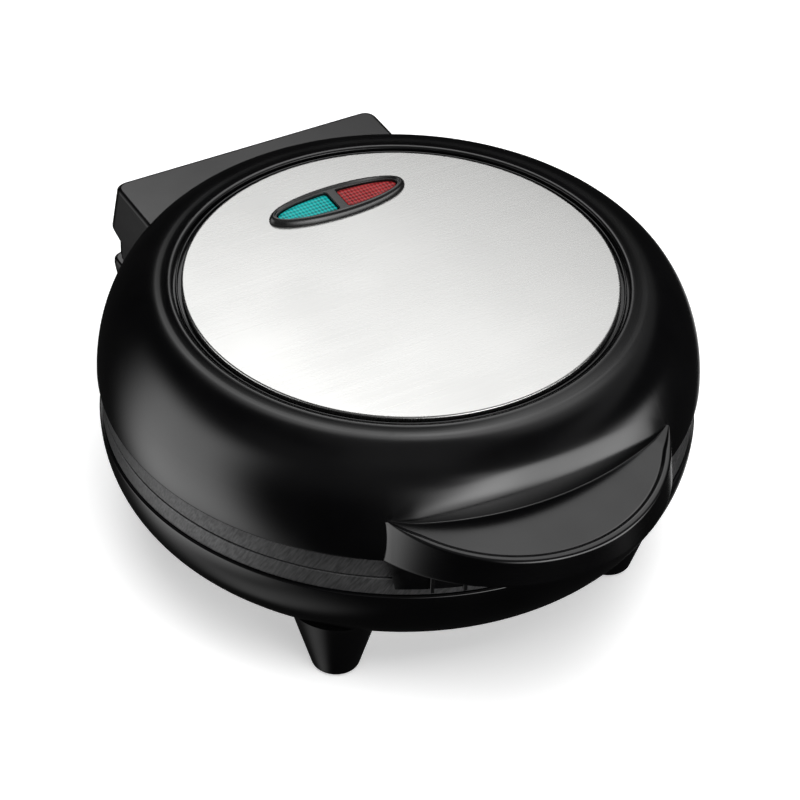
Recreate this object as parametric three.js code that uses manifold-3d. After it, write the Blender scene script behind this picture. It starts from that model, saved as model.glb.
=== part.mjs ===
// A round omelette maker: a bowl-shaped base on four feet, a domed lid hinged behind it,
// and a heated plate with two half-moon pockets in each. Millimetres, +Z up, the handle
// towards -Y, the origin on the table under the middle of the round plates.

import * as THREE from "three";
import { mergeVertices } from "three/addons/utils/BufferGeometryUtils.js";
import Module from "manifold-3d";

const wasm = await Module();
wasm.setup();

// Smoothness of round forms, in steps
const shellSteps = 40;
const postSteps = 10;
const pinSteps = 12;
const footSteps = 8;
const ovalSteps = 10;
const profileSteps = 6;
const hollowSteps = 3;
const pocketSteps = 12;
const cornerSteps = 2;
const elementSides = 8;
const elementSteps = 32;

// Gaps and cuts shared by all pieces
const seatGap = 0.3;
const runningGap = 0.1;
const overrun = 4;
const shellWall = 2.5;

// Base shell: bowl
const footLength = 23.4;
const bowlHeight = 29;
const bowlRadius = 99.8;
const bowlInset = 19.6;
const bowlFloorBevel = 1.7;
const bowlFloorFillet = 4;

// Base shell: hinge housing behind the bowl, with its insets from the back edge
const housingWidth = 101.8;
const housingDepth = 16.6;
const housingLipDrop = 2.3;
const housingLipRise = 0.8;
const housingWaistInset = 3.4;
const housingWaistDrop = 7.4;
const housingFloorInset = 21.4;
const housingCurveInset = 7.9;
const housingCurveRise = 4;
const housingCornerRadius = 4;
const partitionHeight = 10;

// Base shell: vents and mains inlet
const ventCount = 5;
const ventLength = 34;
const ventWidth = 3;
const ventPitch = 9;
const ventOffset = 24;
const inletRadius = 4.5;
const inletCollarRadius = 7;
const inletCollarLength = 3;
const inletSide = 22;
const inletDrop = 13;

// Feet, and the rubber pads let into their tips
const frontFootInset = 23.8;
const frontFootAngle = THREE.MathUtils.degToRad(43.7);
const rearFootSideInset = 12.9;
const rearFootBackInset = 32.4;
const footTipRadius = 7.8;
const footTipEdge = 0.8;
const footRootWidth = 28.6;
const footRootDepth = 26.6;
const footRootShift = 1.8;
const footRootRise = 1.5;
const footSunkRise = 5;
const padRise = 0.8;
const padThickness = 1.6;
const padRadius = 5.2;
const padFaceRadius = 4.6;
const padPegRadius = 2.2;
const padPegLength = 4.4;

// Cooking plates, measured from the face where they meet
const plateGap = 0.3;
const plateInset = 1;
const plateRimWall = 2.5;
const plateLand = 3;
const plateWall = 2.8;
const lowerRimHeight = 6.75;
const upperRimHeight = 7.85;
const lowerPocketDepth = 13;
const upperPocketDepth = 11;
const pocketLand = 12.8;
const pocketBarHalf = 5;
const pocketCorner = 11;
const pocketDraft = 2.5;
const pocketFillet = 4;

// Plate bosses and screws
const bossRadius = 4.6;
const bossLength = 6.35;
const bossInset = 24;
const screwRadius = 1.6;
const screwHeadRadius = 3.4;
const screwHeadHeight = 2.2;
const screwBite = 4.5;
const screwSlotWidth = 0.9;
const screwSlotDepth = 1;
const wellRadius = 6;
const wellWeb = 2.2;
const wellBore = 4.1;
const wellShoulder = 1.2;

// Heating elements
const elementRadius = 3.2;
const elementInset = 12;
const elementLegSide = 12;
const elementLegLength = 20;
const elementPinRadius = 1.4;
const elementPinLength = 7;
const lugWidth = 6;
const lugWall = 1.8;
const lugHeight = 4.6;
const lugClearance = 0.6;

// Reflectors
const reflectorOverhang = 11;
const reflectorSheet = 0.8;
const reflectorClearance = 1.2;
const reflectorRimHeight = 5;
const reflectorRimFlare = 2;
const reflectorNotch = 2;
const thermostatWindow = 1.5;

// Lid shell: dome, bead and groove round the disc
const lidOverhang = 0.5;
const lidRise = 34.3;
const lidInset = 21.2;
const beadRise = 0.7;
const beadInset = 2.7;
const grooveInset = 4.4;
const grooveDepth = 1.2;
const discSeatDrop = 0.5;
const lidCeilingWall = 2.6;

// Lid shell: box over the hinge, as wide as the housing, with its insets from the back edge
const blockOverhang = 1;
const blockDrop = 10.7;
const blockRise = 17.6;
const blockNotchInset = 6.4;
const blockNotchDrop = 3.8;
const blockSkirtInset = 7.6;
const blockSkirtRise = 1.7;
const blockStepDrop = 2;
const blockCrownInset = 4.8;
const blockCrownRadius = 2;
const lidPartitionHeight = 5.5;
const kneeGap = 0.5;

// Lid shell: crescent handle
const handleOverhang = 19;
const handleTipInset = 1.93;
const handleHalfAngle = THREE.MathUtils.degToRad(31.91);
const handleTipRise = 15.1;
const handleSlope = 0.151;
const handleWall = 2.5;
const scoopDepth = 5.3;
const trayInset = 3.2;
const trayDepth = 0.7;

// Lid shell: ribbed guard under the handle
const guardOverhang = 1.7;
const guardWall = 1.8;
const guardDrop = 10.2;
const guardHalfAngle = THREE.MathUtils.degToRad(27);
const guardSlantAngle = THREE.MathUtils.degToRad(1.6);
const guardRibCount = 9;
const guardRibPitch = THREE.MathUtils.degToRad(5.82);
const guardRibWidth = 1.3;
const guardRibDepth = 1.8;
const guardRibRise = 6;

// Hinge
const hingeInset = 6.9;
const hingeRise = 3.3;
const hingeRadius = 4;
const earInset = 14.4;
const earThickness = 5;
const knuckleThickness = 4.5;
const earGap = 0.5;
const pinRadius = 2;
const pinHeadRadius = 3.2;
const pinHeadHeight = 1;

// Steel disc
const discInset = 6.5;
const discSheet = 0.8;
const discCrown = 0.8;
const discEdgeDrop = 0.9;

// Indicator window, a little right of the middle as in the real one
const windowSide = 1.4;
const windowInset = 26.1;
const frameHalfLength = 25.5;
const frameHalfWidth = 8.1;
const frameFlange = 2.2;
const frameRise = 1.5;
const frameEdgeRise = 0.5;
const frameSlope = 1.3;
const frameBodyDrop = 5.5;
const frameRimWall = 2.8;
const windowBarWidth = 3.4;
const windowCorner = 1.4;
const lensRecess = 1.1;
const lensThickness = 2.2;
const lensLedge = 0.9;
const lensCrown = 0.5;
const frameClearance = 0.3;

// Indicator lamps and their holder
const holderHeight = 7.2;
const holderWall = 1.2;
const lampRadius = 2.6;
const lampLength = 14;
const lampLeadRadius = 0.5;
const lampLeadLength = 3;

// Thermostat, thermal fuse and terminal block
const thermostatInset = 24;
const thermostatRadius = 8;
const thermostatHeight = 7;
const thermostatCapRadius = 6;
const thermostatCapHeight = 3;
const thermostatTabWidth = 5;
const thermostatTabHeight = 5;
const thermostatTabSheet = 0.8;
const thermostatTabSide = 3.5;
const fuseReach = 12;
const fuseRadius = 2;
const fuseLength = 13;
const fuseLeadRadius = 0.6;
const fuseLeadLength = 8;
const terminalSide = 20;
const terminalInset = 30.4;
const terminalLength = 26;
const terminalDepth = 12;
const terminalHeight = 9;
const terminalBore = 1.8;
const terminalPitch = 8;

// Radii and reaches worked out from the sizes above
const quarterTurn = Math.PI / 2;
const bowlCurveDrop = bowlHeight - bowlFloorBevel;
const plateRadius = bowlRadius - plateInset;
const pocketRadius = plateRadius - pocketLand;
const bossCircle = pocketRadius - bossInset;
const elementCircle = bossCircle - elementInset;
const elementLegReach = elementCircle + elementLegLength;
const reflectorRadius = bossCircle + reflectorOverhang;
const thermostatSide = elementCircle - thermostatInset;
const lidRadius = bowlRadius + lidOverhang;
const shoulderRadius = lidRadius - lidInset;
const beadRadius = shoulderRadius - beadInset;
const grooveOuterRadius = shoulderRadius - grooveInset;
const discRadius = shoulderRadius - discInset;
const windowReach = discRadius - windowInset;
const handleReach = lidRadius + handleOverhang;
const handleTipRadius = lidRadius - handleTipInset;
const handleTipSide = handleTipRadius * Math.sin(handleHalfAngle);
const handleTipReach = handleTipRadius * Math.cos(handleHalfAngle);
const scoopReach = lidRadius - scoopDepth;
const guardRadius = lidRadius + guardOverhang;
const frontFootCircle = bowlRadius - frontFootInset;
const frontFootSide = frontFootCircle * Math.sin(frontFootAngle);
const frontFootReach = frontFootCircle * Math.cos(frontFootAngle);
const housingReach = bowlRadius + housingDepth;
const rearFootSide = housingWidth / 2 - rearFootSideInset;
const rearFootReach = housingReach - rearFootBackInset;
const hingeReach = housingReach - hingeInset;
const blockReach = housingReach + blockOverhang;
const earInner = housingWidth / 2 - earInset;
const knuckleInner = earInner + earThickness + earGap;

// Levels worked out from the sizes above
const floorLevel = footLength;
const baseRimLevel = floorLevel + bowlHeight;
const lowerFace = baseRimLevel + seatGap + lowerRimHeight;
const upperFace = lowerFace + plateGap;
const lidEdgeLevel = upperFace + upperRimHeight + seatGap;
const shoulderLevel = lidEdgeLevel + lidRise;
const seatLevel = shoulderLevel - discSeatDrop;
const ceilingLevel = seatLevel - lidCeilingWall;
const hingeLevel = baseRimLevel + hingeRise;
const lipLevel = baseRimLevel + housingLipRise;
const blockBottomLevel = lidEdgeLevel - blockDrop;
const blockTopLevel = lidEdgeLevel + blockRise;
const discRimLevel = seatLevel + seatGap + discSheet;
const frameSeatLevel = discRimLevel + discCrown * (1 - (windowReach / discRadius) ** 2);
const frameTopLevel = frameSeatLevel + seatGap + frameRise;

// Materials
function material(color, roughness, metalness) {
  return new THREE.MeshStandardMaterial({ color, roughness, metalness });
}
const blackPlastic = material(0x0b0b0c, 0.35, 0);
const framePlastic = material(0x111213, 0.3, 0);
const rubber = material(0x1b1b1b, 0.85, 0);
const brushedSteel = material(0xd2d2d2, 0.35, 1);
const castPlate = material(0x2b2b2c, 0.5, 0.4);
const elementSteel = material(0x6f6a63, 0.5, 0.9);
const sheetAluminium = material(0xb9bcbf, 0.4, 1);
const screwSteel = material(0x9a9c9f, 0.35, 1);
const greenPlastic = material(0x19a08f, 0.25, 0);
const redPlastic = material(0xa3242a, 0.25, 0);
const lampGlass = material(0xe9d9c4, 0.1, 0);
const ceramic = material(0xe6e0d4, 0.7, 0);
const holderPlastic = material(0xd9d5c9, 0.6, 0);

// A closed three.js geometry as a solid that can be joined and cut
function solidOf(geometry) {
  const bare = geometry.clone();
  bare.deleteAttribute("normal");
  bare.deleteAttribute("uv");
  const merged = mergeVertices(bare);
  const corners = [];
  for (let i = 0; i < merged.index.count; i += 3) {
    const [a, b, c] = merged.index.array.subarray(i, i + 3);
    if (a !== b && b !== c && c !== a) corners.push(a, b, c);
  }
  const vertProperties = merged.attributes.position.array;
  const triVerts = new Uint32Array(corners);
  return new wasm.Manifold(new wasm.Mesh({ numProp: 3, vertProperties, triVerts }));
}

function join(...solids) {
  return solids.reduce((whole, solid) => whole.add(solid));
}

function cut(body, ...tools) {
  return tools.reduce((rest, tool) => rest.subtract(tool), body);
}

function meshOf(name, solid, surface) {
  const { vertProperties, triVerts } = solid.getMesh();
  const geometry = new THREE.BufferGeometry();
  geometry.setAttribute("position", new THREE.BufferAttribute(vertProperties, 3));
  geometry.setIndex(new THREE.BufferAttribute(triVerts, 1));
  geometry.computeVertexNormals();
  const mesh = new THREE.Mesh(geometry, surface);
  mesh.name = name;
  return mesh;
}

function moved(geometry, x, y, z) {
  return geometry.translate(x, y, z);
}

// Turns a profile of [radius, height] points, running up its outer side, about Z
function turned(profile, steps = shellSteps) {
  const points = profile.map(([radius, height]) => new THREE.Vector2(radius, height));
  return new THREE.LatheGeometry(points, steps).rotateX(quarterTurn);
}

function post(radius, low, high, steps = postSteps) {
  return turned([[0, low], [radius, low], [radius, high], [0, high]], steps);
}

// A post lying along X
function axle(radius, from, to, steps = postSteps) {
  return post(radius, from, to, steps).rotateY(quarterTurn);
}

function block(xLow, xHigh, yLow, yHigh, zLow, zHigh) {
  const box = new THREE.BoxGeometry(xHigh - xLow, yHigh - yLow, zHigh - zLow);
  return moved(box, (xLow + xHigh) / 2, (yLow + yHigh) / 2, (zLow + zHigh) / 2);
}

// A shape in X and Y, made thick from one level to another
function slab(shape, low, high, steps = cornerSteps) {
  const options = { depth: high - low, bevelEnabled: false, curveSegments: steps };
  return moved(new THREE.ExtrudeGeometry(shape, options), 0, 0, low);
}

// A side view in Y and Z, made wide along X between two sides
function sideSlab(shape, left, right) {
  const turn = new THREE.Matrix4().makeBasis(
    new THREE.Vector3(0, 1, 0),
    new THREE.Vector3(0, 0, 1),
    new THREE.Vector3(1, 0, 0),
  );
  return moved(slab(shape, 0, right - left).applyMatrix4(turn), left, 0, 0);
}

function polygon(points) {
  return new THREE.Shape(points.map(([x, y]) => new THREE.Vector2(x, y)));
}

function oval(halfLength, halfWidth) {
  return new THREE.Shape().absellipse(0, 0, halfLength, halfWidth, 0, 2 * Math.PI);
}

// Skins a stack of rings, each a list of as many [x, y] points at one level
function loft(rings) {
  const count = rings[0].points.length;
  const positions = rings.flatMap(({ points, level }) => points.flatMap(([x, y]) => [x, y, level]));
  const faces = [];
  for (let ring = 0; ring + 1 < rings.length; ring += 1) {
    for (let i = 0; i < count; i += 1) {
      const next = (i + 1) % count;
      const [a, b] = [ring * count + i, ring * count + next];
      faces.push(a, b, b + count, a, b + count, a + count);
    }
  }
  const outline = rings[0].points.map(([x, y]) => new THREE.Vector2(x, y));
  const top = (rings.length - 1) * count;
  for (const [a, b, c] of THREE.ShapeUtils.triangulateShape(outline, [])) {
    faces.push(a, c, b, top + a, top + b, top + c);
  }
  const geometry = new THREE.BufferGeometry();
  geometry.setAttribute("position", new THREE.Float32BufferAttribute(positions, 3));
  return geometry.setIndex(faces);
}

// Points of a quarter ellipse that starts level with its centre, out at the side
function quarterEllipse(centreRadius, centreLevel, across, up, steps) {
  return Array.from({ length: steps + 1 }, (_, i) => {
    const angle = (quarterTurn * i) / steps;
    return [centreRadius + across * Math.cos(angle), centreLevel + up * Math.sin(angle)];
  });
}

function arcPoints(x, y, radius, from, to, steps) {
  return Array.from({ length: steps + 1 }, (_, i) => {
    const angle = from + ((to - from) * i) / steps;
    return [x + radius * Math.cos(angle), y + radius * Math.sin(angle)];
  });
}

// Base shell

function bowlSolid(inset) {
  const centre = bowlRadius - bowlInset;
  const across = bowlInset - inset;
  const steps = inset > 0 ? hollowSteps : profileSteps;
  const side = quarterEllipse(centre, baseRimLevel, across, inset - bowlCurveDrop, steps);
  const floor = floorLevel + inset;
  const rim = inset > 0 ? baseRimLevel + overrun : baseRimLevel;
  const edge = centre - (inset > 0 ? bowlFloorFillet : bowlHeight - bowlCurveDrop);
  const profile = [[0, floor], [edge, floor], ...side.reverse(), [bowlRadius - inset, rim], [0, rim]];
  return solidOf(turned(profile.filter((point, i) => i === 0 || !samePoint(point, profile[i - 1]))));
}

function samePoint([r, z], [otherR, otherZ]) {
  return r === otherR && z === otherZ;
}

// Plan of a box behind the round body, with rounded corners at the back
function boxPlan(reach, inset) {
  const half = housingWidth / 2 - inset;
  const back = reach - inset;
  const radius = housingCornerRadius - Math.min(inset, housingCornerRadius / 2);
  const plan = new THREE.Shape();
  plan.moveTo(-half, bowlRadius / 2);
  plan.lineTo(half, bowlRadius / 2);
  plan.lineTo(half, back - radius);
  plan.absarc(half - radius, back - radius, radius, 0, quarterTurn, false);
  plan.absarc(radius - half, back - radius, radius, quarterTurn, Math.PI, false);
  plan.closePath();
  return plan;
}

function housingSide(inset) {
  const floor = floorLevel + inset;
  const side = new THREE.Shape();
  side.moveTo(bowlRadius / 2, floor);
  side.lineTo(housingReach - housingFloorInset - inset / 2, floor);
  side.quadraticCurveTo(
    housingReach - housingCurveInset - inset,
    floorLevel + housingCurveRise + inset,
    housingReach - housingWaistInset - inset,
    baseRimLevel - housingWaistDrop,
  );
  side.lineTo(housingReach - inset, lipLevel - housingLipDrop);
  if (inset > 0) {
    side.lineTo(housingReach - inset, lipLevel + overrun);
    side.lineTo(bowlRadius / 2, lipLevel + overrun);
  } else {
    side.quadraticCurveTo(housingReach, lipLevel, housingReach - housingLipRise, lipLevel);
    side.lineTo(bowlRadius / 2, lipLevel);
  }
  return side;
}

function housingSolid(inset) {
  const half = housingWidth / 2 + overrun;
  const side = solidOf(sideSlab(housingSide(inset), -half, half));
  const plan = boxPlan(housingReach, inset);
  return side.intersect(solidOf(slab(plan, floorLevel - overrun, lipLevel + 2 * overrun)));
}

// The hollow of the housing, short of the bowl wall that parts it from the plates
function housingHollow() {
  const wall = post(bowlRadius, baseRimLevel - partitionHeight, lipLevel + 2 * overrun, shellSteps);
  return cut(housingSolid(shellWall), solidOf(wall));
}

const footPlaces = [
  { name: "front_left", x: -frontFootSide, y: -frontFootReach },
  { name: "front_right", x: frontFootSide, y: -frontFootReach },
  { name: "rear_left", x: -rearFootSide, y: rearFootReach },
  { name: "rear_right", x: rearFootSide, y: rearFootReach },
];

// Front feet face out from the middle, rear feet face straight back
function footTurn({ x, y }) {
  return y < 0 ? Math.atan2(-x, y) : 0;
}

// A ring of the foot at a share of the way up from its tip to its root
function footRing(share, inset, level) {
  const halfWidth = mixed(footTipRadius, footRootWidth / 2, share) - inset;
  const halfDepth = mixed(footTipRadius, footRootDepth / 2, share) - inset;
  const shift = share * footRootShift;
  const points = oval(halfWidth, halfDepth).getPoints(footSteps).slice(0, -1);
  return { level, points: points.map(({ x, y }) => [x, y + shift]) };
}

function mixed(from, to, share) {
  return from + (to - from) * share;
}

function footSolid(place, inset) {
  const tip = padRise + inset;
  const root = floorLevel + footRootRise;
  const sunk = floorLevel + footSunkRise;
  const sunkShare = (sunk - padRise) / (root - padRise);
  const edge = inset > 0 ? 0 : footTipEdge;
  const rings = [
    footRing(inset / (root - padRise), inset + edge, tip),
    footRing((inset + edge) / (root - padRise), inset, tip + edge),
    footRing(sunkShare, inset, sunk),
  ];
  const foot = loft(inset > 0 ? rings.slice(1) : rings).rotateZ(footTurn(place));
  return solidOf(moved(foot, place.x, place.y, 0));
}

// The round recess in a foot's tip for the pad, with a hole for its peg
function padSeat(place) {
  const recess = post(padRadius + seatGap, -overrun, padThickness + seatGap);
  const hole = post(padPegRadius + seatGap, -overrun, padRise + shellWall + overrun);
  return solidOf(moved(recess, place.x, place.y, 0)).add(solidOf(moved(hole, place.x, place.y, 0)));
}

const screwAngleShares = [0.25, 0.75, 1.25, 1.75];
const screwPlaces = screwAngleShares.map((share) => ({
  x: bossCircle * Math.cos(share * Math.PI),
  y: bossCircle * Math.sin(share * Math.PI),
}));

// How far from its cooking face a plate's bosses end
function bossEnd(pocketDepth) {
  return pocketDepth + plateWall + bossLength;
}

// How far from the cooking face the reflector's near side lies
function reflectorStart(pocketDepth) {
  return pocketDepth + plateWall + seatGap + 2 * elementRadius + reflectorClearance;
}

// The outside and the bore of a screw well, along Z from a plate face towards its shell
function screwWell(place, pocketDepth, end) {
  const web = bossEnd(pocketDepth) + seatGap;
  const shoulder = reflectorStart(pocketDepth) + reflectorSheet + seatGap;
  const thick = wellRadius + wellShoulder;
  const outside = turned(
    [[0, web], [wellRadius, web], [wellRadius, shoulder], [thick, shoulder], [thick, end], [0, end]],
    postSteps,
  );
  const bore = turned(
    [
      [0, web - overrun],
      [screwRadius + seatGap, web - overrun],
      [screwRadius + seatGap, web + wellWeb],
      [wellBore, web + wellWeb],
      [wellBore, end + overrun],
      [0, end + overrun],
    ],
    postSteps,
  );
  return [moved(outside, place.x, place.y, 0), moved(bore, place.x, place.y, 0)];
}

function lowered(geometry) {
  return moved(geometry.rotateY(Math.PI), 0, 0, lowerFace);
}

function raised(geometry) {
  return moved(geometry, 0, 0, upperFace);
}

function ventSlots() {
  const slots = [];
  for (const side of [-1, 1]) {
    for (let i = 0; i < ventCount; i += 1) {
      const y = (i - (ventCount - 1) / 2) * ventPitch;
      const middle = side * ventOffset;
      const low = middle - ventLength / 2;
      const high = middle + ventLength / 2;
      const [front, back] = [y - ventWidth / 2, y + ventWidth / 2];
      const depth = floorLevel + shellWall + overrun;
      slots.push(solidOf(block(low, high, front, back, floorLevel - overrun, depth)));
    }
  }
  return slots;
}

// The knuckle that holds a hinge pin, standing on the housing's back wall
function knuckle(side) {
  const left = side < 0 ? -knuckleInner - knuckleThickness : knuckleInner;
  const right = left + knuckleThickness;
  const waist = baseRimLevel - housingWaistDrop;
  const stalk = polygon([
    [hingeReach - hingeRadius, hingeLevel],
    [hingeReach - hingeRadius, waist - 3 * hingeRadius],
    [housingReach - housingWaistInset - shellWall / 2, waist],
    [hingeReach + hingeRadius, lipLevel - housingLipDrop],
    [hingeReach + hingeRadius, hingeLevel],
  ]);
  const eye = moved(axle(hingeRadius, left, right), 0, hingeReach, hingeLevel);
  return join(solidOf(sideSlab(stalk, left, right)), solidOf(eye));
}

function pinHole(side, radius) {
  const from = side < 0 ? -housingWidth / 2 + shellWall : earInner - overrun;
  const to = side < 0 ? overrun - earInner : housingWidth / 2 - shellWall;
  return solidOf(moved(axle(radius, from, to, pinSteps), 0, hingeReach, hingeLevel));
}

const inletLevel = baseRimLevel - inletDrop;
const inletStart = housingReach - housingFloorInset;

function inletPost(radius, from, to) {
  const bar = post(radius, -to, -from).rotateX(quarterTurn);
  return solidOf(moved(bar, inletSide, 0, inletLevel));
}

function baseShell() {
  const feet = footPlaces.map((place) => footSolid(place, 0));
  const collar = inletPost(inletCollarRadius, inletStart, housingReach - inletCollarLength / 2);
  const outside = join(bowlSolid(0), housingSolid(0), collar, ...feet);
  const footHollows = footPlaces.map((place) => footSolid(place, shellWall));
  const hollow = join(bowlSolid(shellWall), housingHollow(), ...footHollows);
  const plateRoom = post(plateRadius + seatGap, baseRimLevel, lipLevel + overrun, shellSteps);
  const wells = screwPlaces.map((place) => screwWell(place, lowerPocketDepth, lowerFace - floorLevel));
  return cut(
    join(
      cut(outside, hollow, solidOf(plateRoom)),
      ...wells.map(([outer]) => solidOf(lowered(outer))),
      knuckle(-1),
      knuckle(1),
    ),
    ...wells.map(([, bore]) => solidOf(lowered(bore))),
    ...footPlaces.map(padSeat),
    ...ventSlots(),
    inletPost(inletRadius, inletStart - overrun, housingReach + overrun),
    pinHole(-1, pinRadius + runningGap),
    pinHole(1, pinRadius + runningGap),
  );
}

// Foot pad: a round pad with a peg that goes into the foot

function footPad() {
  const bend = padRadius - padFaceRadius;
  const side = quarterEllipse(padFaceRadius, bend, bend, -bend, cornerSteps).reverse();
  const top = [
    [padRadius, padThickness],
    [padPegRadius, padThickness],
    [padPegRadius, padPegLength],
    [0, padPegLength],
  ];
  return solidOf(turned([[0, 0], ...side, ...top], postSteps));
}

// Cooking plate, with its cooking face at zero and its body below

// Half-moon with its flat side towards the bar between the pockets
function halfMoon(inset) {
  const flat = pocketBarHalf + inset;
  const radius = pocketRadius - inset;
  const corner = pocketCorner;
  const reach = Math.sqrt((radius - corner) ** 2 - (flat + corner) ** 2);
  const angle = Math.atan2(reach, flat + corner);
  return [
    ...arcPoints(flat + corner, -reach, corner, Math.PI, 2 * Math.PI - angle, cornerSteps),
    ...arcPoints(0, 0, radius, -angle, angle, pocketSteps).slice(1, -1),
    ...arcPoints(flat + corner, reach, corner, angle, Math.PI, cornerSteps),
  ];
}

// A pocket, or the tub round it when grown by the plate's wall
function pocketSolid(depth, grown, rim) {
  const bend = pocketFillet + grown;
  const rings = [];
  for (let i = cornerSteps; i >= 0; i -= 1) {
    const angle = (quarterTurn * i) / cornerSteps;
    const inset = pocketDraft - grown + bend * (1 - Math.cos(angle));
    rings.push({ points: halfMoon(inset), level: bend * (1 - Math.sin(angle)) - depth - grown });
  }
  rings.push({ points: halfMoon(-grown), level: 0 });
  if (rim > 0) rings.push({ points: halfMoon(-grown), level: rim });
  return rings;
}

function pocketPair(depth, grown, rim) {
  const rings = pocketSolid(depth, grown, rim);
  return [0, Math.PI].map((turn) => solidOf(loft(rings).rotateZ(turn)));
}

// Lugs that hold the heating element on the back of a plate
function elementLugs(pocketDepth) {
  const back = -pocketDepth - plateWall;
  const lugs = [];
  const lugAngleShares = [-0.14, 0, 0.14, 0.86, 1, 1.14];
  for (const share of lugAngleShares) {
    for (const side of [-1, 1]) {
      const middle = elementCircle + side * (elementRadius + lugClearance + lugWall / 2);
      const [low, high] = [middle - lugWall / 2, middle + lugWall / 2];
      const lug = block(low, high, -lugWidth / 2, lugWidth / 2, back - lugHeight, back + plateWall / 2);
      lugs.push(solidOf(lug.rotateZ(share * Math.PI)));
    }
  }
  return lugs;
}

function cookingPlate(rimHeight, pocketDepth) {
  const inner = plateRadius - plateRimWall;
  const rim = solidOf(
    turned([
      [0, -plateLand],
      [inner, -plateLand],
      [inner, -rimHeight],
      [plateRadius, -rimHeight],
      [plateRadius, 0],
      [0, 0],
    ]),
  );
  const end = bossEnd(pocketDepth);
  const bosses = screwPlaces.map(({ x, y }) => {
    return solidOf(moved(post(bossRadius, -end, -pocketDepth), x, y, 0));
  });
  const holes = screwPlaces.map(({ x, y }) => {
    const hole = post(screwRadius + seatGap, -end - overrun, screwBite + seatGap - end);
    return solidOf(moved(hole, x, y, 0));
  });
  const tubs = pocketPair(pocketDepth, plateWall, 0);
  const pockets = pocketPair(pocketDepth, 0, overrun);
  return cut(join(rim, ...tubs, ...bosses, ...elementLugs(pocketDepth)), ...pockets, ...holes);
}

// Heating element: a loop under the plate with two legs towards the hinge
function heatingElement(pocketDepth) {
  const level = -pocketDepth - plateWall - seatGap - elementRadius;
  const bend = 2 * elementLegSide;
  const opening = Math.asin(bend / elementCircle);
  const points = [new THREE.Vector3(elementLegSide, elementLegReach, level)];
  points.push(new THREE.Vector3(elementLegSide, elementCircle + elementLegSide, level));
  const loopSteps = ovalSteps;
  for (let i = 0; i <= loopSteps; i += 1) {
    const angle = quarterTurn - opening - ((2 * Math.PI - 2 * opening) * i) / loopSteps;
    const [x, y] = [elementCircle * Math.cos(angle), elementCircle * Math.sin(angle)];
    points.push(new THREE.Vector3(x, y, level));
  }
  points.push(new THREE.Vector3(-elementLegSide, elementCircle + elementLegSide, level));
  points.push(new THREE.Vector3(-elementLegSide, elementLegReach, level));
  const section = new THREE.Shape().absarc(0, 0, elementRadius, 0, 2 * Math.PI);
  const tube = new THREE.ExtrudeGeometry(section, {
    steps: elementSteps,
    curveSegments: elementSides / 2,
    extrudePath: new THREE.CatmullRomCurve3(points, false, "centripetal"),
  });
  const pins = [-1, 1].map((side) => {
    const from = elementLegReach - elementPinLength / 2;
    const pin = post(elementPinRadius, -from - elementPinLength - elementRadius, -from, elementSides);
    return solidOf(moved(pin.rotateX(quarterTurn), side * elementLegSide, 0, level));
  });
  return join(solidOf(tube), ...pins);
}

// Reflector: a thin dish behind the element, with holes for the screw wells
function reflector(pocketDepth, extraHoles) {
  const near = -reflectorStart(pocketDepth);
  const far = near - reflectorSheet;
  const rim = near + reflectorRimHeight;
  const edge = reflectorRadius + reflectorRimFlare;
  const sheet = solidOf(
    turned([
      [0, far],
      [reflectorRadius, far],
      [edge + reflectorSheet, rim],
      [edge, rim],
      [reflectorRadius - reflectorSheet, near],
      [0, near],
    ]),
  );
  const wellHoles = screwPlaces.map((place) => ({ ...place, radius: wellRadius + seatGap }));
  const holes = [...wellHoles, ...extraHoles].map(({ x, y, radius }) => {
    return solidOf(moved(post(radius, far - overrun, near + overrun), x, y, 0));
  });
  const half = elementLegSide + elementRadius + reflectorNotch;
  const notch = block(-half, half, elementLegReach, edge + overrun, near + reflectorNotch, rim + overrun);
  return cut(sheet, solidOf(notch), ...holes);
}

// Screw with its head away from the plate and a slot across the head
function plateScrew(pocketDepth) {
  const seat = -bossEnd(pocketDepth) - 2 * seatGap - wellWeb;
  const tip = screwBite - bossEnd(pocketDepth);
  const end = seat - screwHeadHeight;
  const screw = turned(
    [
      [0, end],
      [screwHeadRadius, end],
      [screwHeadRadius, seat],
      [screwRadius, seat],
      [screwRadius, tip],
      [0, tip],
    ],
    postSteps,
  );
  const [slot, reach] = [screwSlotWidth / 2, screwHeadRadius + overrun];
  const driverSlot = block(-reach, reach, -slot, slot, end - overrun, end + screwSlotDepth);
  return cut(solidOf(screw), solidOf(driverSlot));
}

// A plate and what is screwed on behind it, built with the cooking face at zero
function heatedPlate(prefix, rimHeight, pocketDepth, reflectorHoles) {
  const group = new THREE.Group();
  group.add(meshOf(prefix + "_plate", cookingPlate(rimHeight, pocketDepth), castPlate));
  group.add(meshOf(prefix + "_heating_element", heatingElement(pocketDepth), elementSteel));
  group.add(meshOf(prefix + "_reflector", reflector(pocketDepth, reflectorHoles), sheetAluminium));
  screwPlaces.forEach(({ x, y }, i) => {
    const screw = meshOf(prefix + "_plate_screw_" + (i + 1), plateScrew(pocketDepth), screwSteel);
    screw.position.set(x, y, 0);
    group.add(screw);
  });
  return group;
}

// Hinge pin with its head outside the knuckle
function hingePin() {
  const length = knuckleInner + knuckleThickness - earInner;
  const shank = axle(pinRadius, seatGap, length + seatGap, pinSteps);
  const head = axle(pinHeadRadius, length + seatGap, length + seatGap + pinHeadHeight);
  return join(solidOf(shank), solidOf(head));
}

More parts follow.
